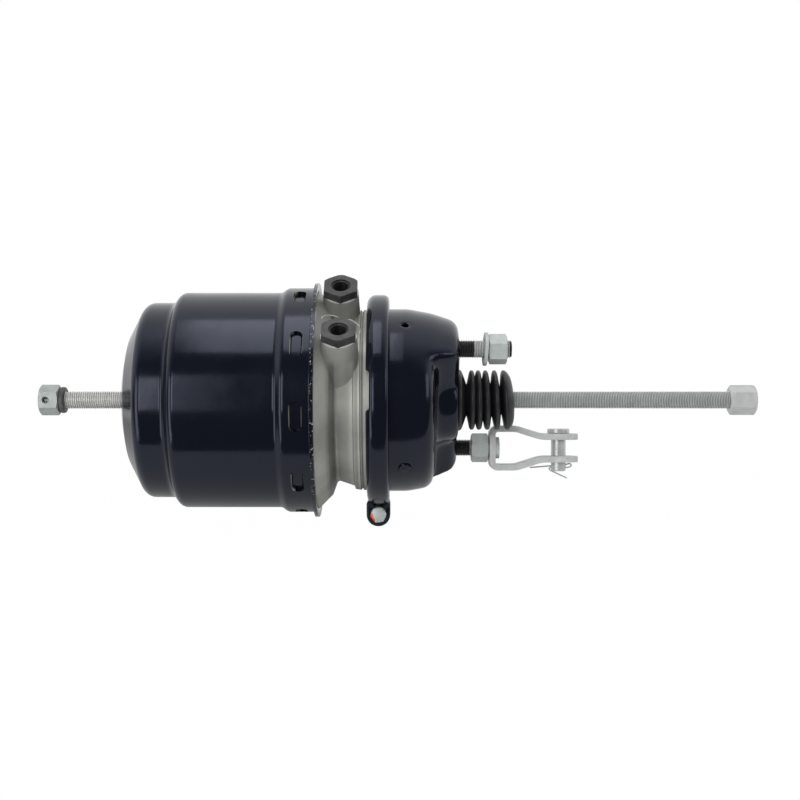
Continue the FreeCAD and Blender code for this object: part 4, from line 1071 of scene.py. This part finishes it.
PIN_DEPTH = 39.6
STRAIGHT_LEG = ((70.7, -64.4), (80.0, -63.7), (89.6, -62.9), (98.0, -62.8), (103.6, -62.7))
PIN_EYE = ((105.5, -61.3), (108.2, -60.5), (110.0, -61.4), (110.0, -62.9), (108.0, -64.2))
BENT_LEG = (
    (105.2, -64.4), (103.2, -64.1), (95.0, -64.1), (89.6, -64.2),
    (88.6, -66.2), (92.2, -68.2), (106.0, -74.4),
)
pin_path = [(x, PIN_DEPTH, z) for x, z in STRAIGHT_LEG + PIN_EYE + BENT_LEG]
pin = wire("split_pin_bent", pin_path, 0.72)
pin.data.materials.append(zinc)
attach(pin, "clevis_pin")
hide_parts("split_pin")
print("split pin faces:", len(pin.data.polygons))

# %% [markdown]
# ## Clamp bolt
# The hexagon of the clamp bolt stands a little turned, as tightening left it,
# and carries a dab of orange paint that shows it was checked. A merged copy of
# the CAD bolt is turned about its own axis. The dab is a mask on one side of
# the head whose edge is made ragged by noise.

# %% Clamp bolt
BOLT_AXIS = (-0.0731, -0.0165, -0.1051)
BOLT_TURN = 38
bolt = copy_of("clamp_bolt", "marked_bolt")
bpy.ops.object.mode_set(mode="EDIT")
bpy.ops.mesh.select_all(action="SELECT")
bpy.ops.transform.rotate(
    value=math.radians(BOLT_TURN), orient_axis="Y", center_override=BOLT_AXIS
)
bpy.ops.object.mode_set(mode="OBJECT")
smooth(bolt, 30)
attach(bolt, "chamber")
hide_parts("clamp_bolt")
print("clamp bolt faces:", len(bolt.data.polygons))

# %% Orange mark
ORANGE = (0.80, 0.10, 0.015)
MARK_WAY = (-0.8, -0.45)
MARK_EDGE = (0.0068, 0.0076)
MARK_RAG = 0.006
marked = plated("marked_zinc", *ZINC, (0.38, 0.5))
along, across, up = place_of(marked)
beside = reckon(marked, "SUBTRACT", along, BOLT_AXIS[0])
above = reckon(marked, "SUBTRACT", up, BOLT_AXIS[2])
sided = product_sum(marked, beside, MARK_WAY[0], above, MARK_WAY[1])
ragged = reckon(marked, "MULTIPLY", noise(marked, 350, 3), MARK_RAG)
edge = reckon(marked, "ADD", sided, ragged)
overlaid(marked, ramped(marked, edge, *MARK_EDGE, 0, 1), ORANGE)
bolt.data.materials.clear()
bolt.data.materials.append(marked)
print("clamp bolt materials:", [made.name for made in bolt.data.materials])

# %% [markdown]
# ## Clamp ring
# The clamp ring is a pressed band that is drawn together by the bolt. The edges
# of its channel and of its two ears are as round as the clevis's, so it is made
# in the same way. The band is far larger, so its voxel is a little coarser,
# which keeps the mesh light.

# %% Clamp ring
band = rounded_copy("clamp_ring", "pressed_ring", voxel=0.0011, passes=8)
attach(band, "chamber")
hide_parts("clamp_ring")

# %% [markdown]
# ## Port threads
# Each adaptor has a thread inside its mouth. Only its first crests catch light,
# so a fine wire wound down the bore is enough, and it saves cutting the bore
# again. It is wound upright, and then leaned over to the port's direction.

# %% Port threads
CREST = 0.0005
CREST_RADIUS = 0.00735
PORT_TURNS = 9
PORT_RISE = 0.0135
THREAD_FOOT = 0.0930
for name, side in (("port_thread_lower", PORT_OFFSET), ("port_thread_upper", -PORT_OFFSET)):
    turns = helix(
        name, CREST, 8, (CREST_RADIUS, 0, 0), "Z", turns=PORT_TURNS, rise=PORT_RISE, steps=32
    )
    turns.rotation_euler = (math.atan2(PORT_SIN, PORT_COS), 0, 0)
    turns.location = (
        Vector((PORT_STATION, 0, 0)) + PORT_OUT * THREAD_FOOT + PORT_SIDE * side / 1000
    )
    settle(turns)
    smooth(turns, 60)
    turns.data.materials.append(adaptor)
    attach(turns, "chamber")
    print(name, [round(v * 1000, 1) for v in turns.bound_box[0]])

# %% [markdown]
# ## Casting ridge
# A thin ridge of the casting runs round the top of the lower port's boss. It
# is given a paler colour than the casting, a painted highlight for the light
# that its edge catches. Its line is known only as it looks from the camera, so
# each of its points is found by a ray from the camera onto the casting. That
# lays the ridge on the metal, where it stays right from every side.

# %% Casting ridge
RIDGE_PLANE = -0.085
RIDGE_LINE = (
    (-121.2, 69.9), (-119.7, 72.7), (-113.0, 73.2), (-105.2, 71.2),
    (-95.0, 69.1), (-89.5, 65.2), (-87.2, 61.3), (-88.3, 57.0),
)
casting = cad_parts["flange_body"]
viewpoint = camera.location
found = []
for x, z in RIDGE_LINE:
    aim = Vector((x / 1000, RIDGE_PLANE, z / 1000)) - viewpoint
    start = casting.matrix_world.inverted() @ viewpoint
    hit, spot, _, _ = casting.ray_cast(start, aim.normalized())
    if hit:
        found.append([v * 1000 for v in casting.matrix_world @ spot])
ridge = wire("casting_ridge", found, 0.6)
# The ridge's pale colour is a painted highlight.
ridge.data.materials.append(ridge_highlight_cast)
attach(ridge, "chamber")
print("ridge points:", [[round(v, 1) for v in spot] for spot in found])
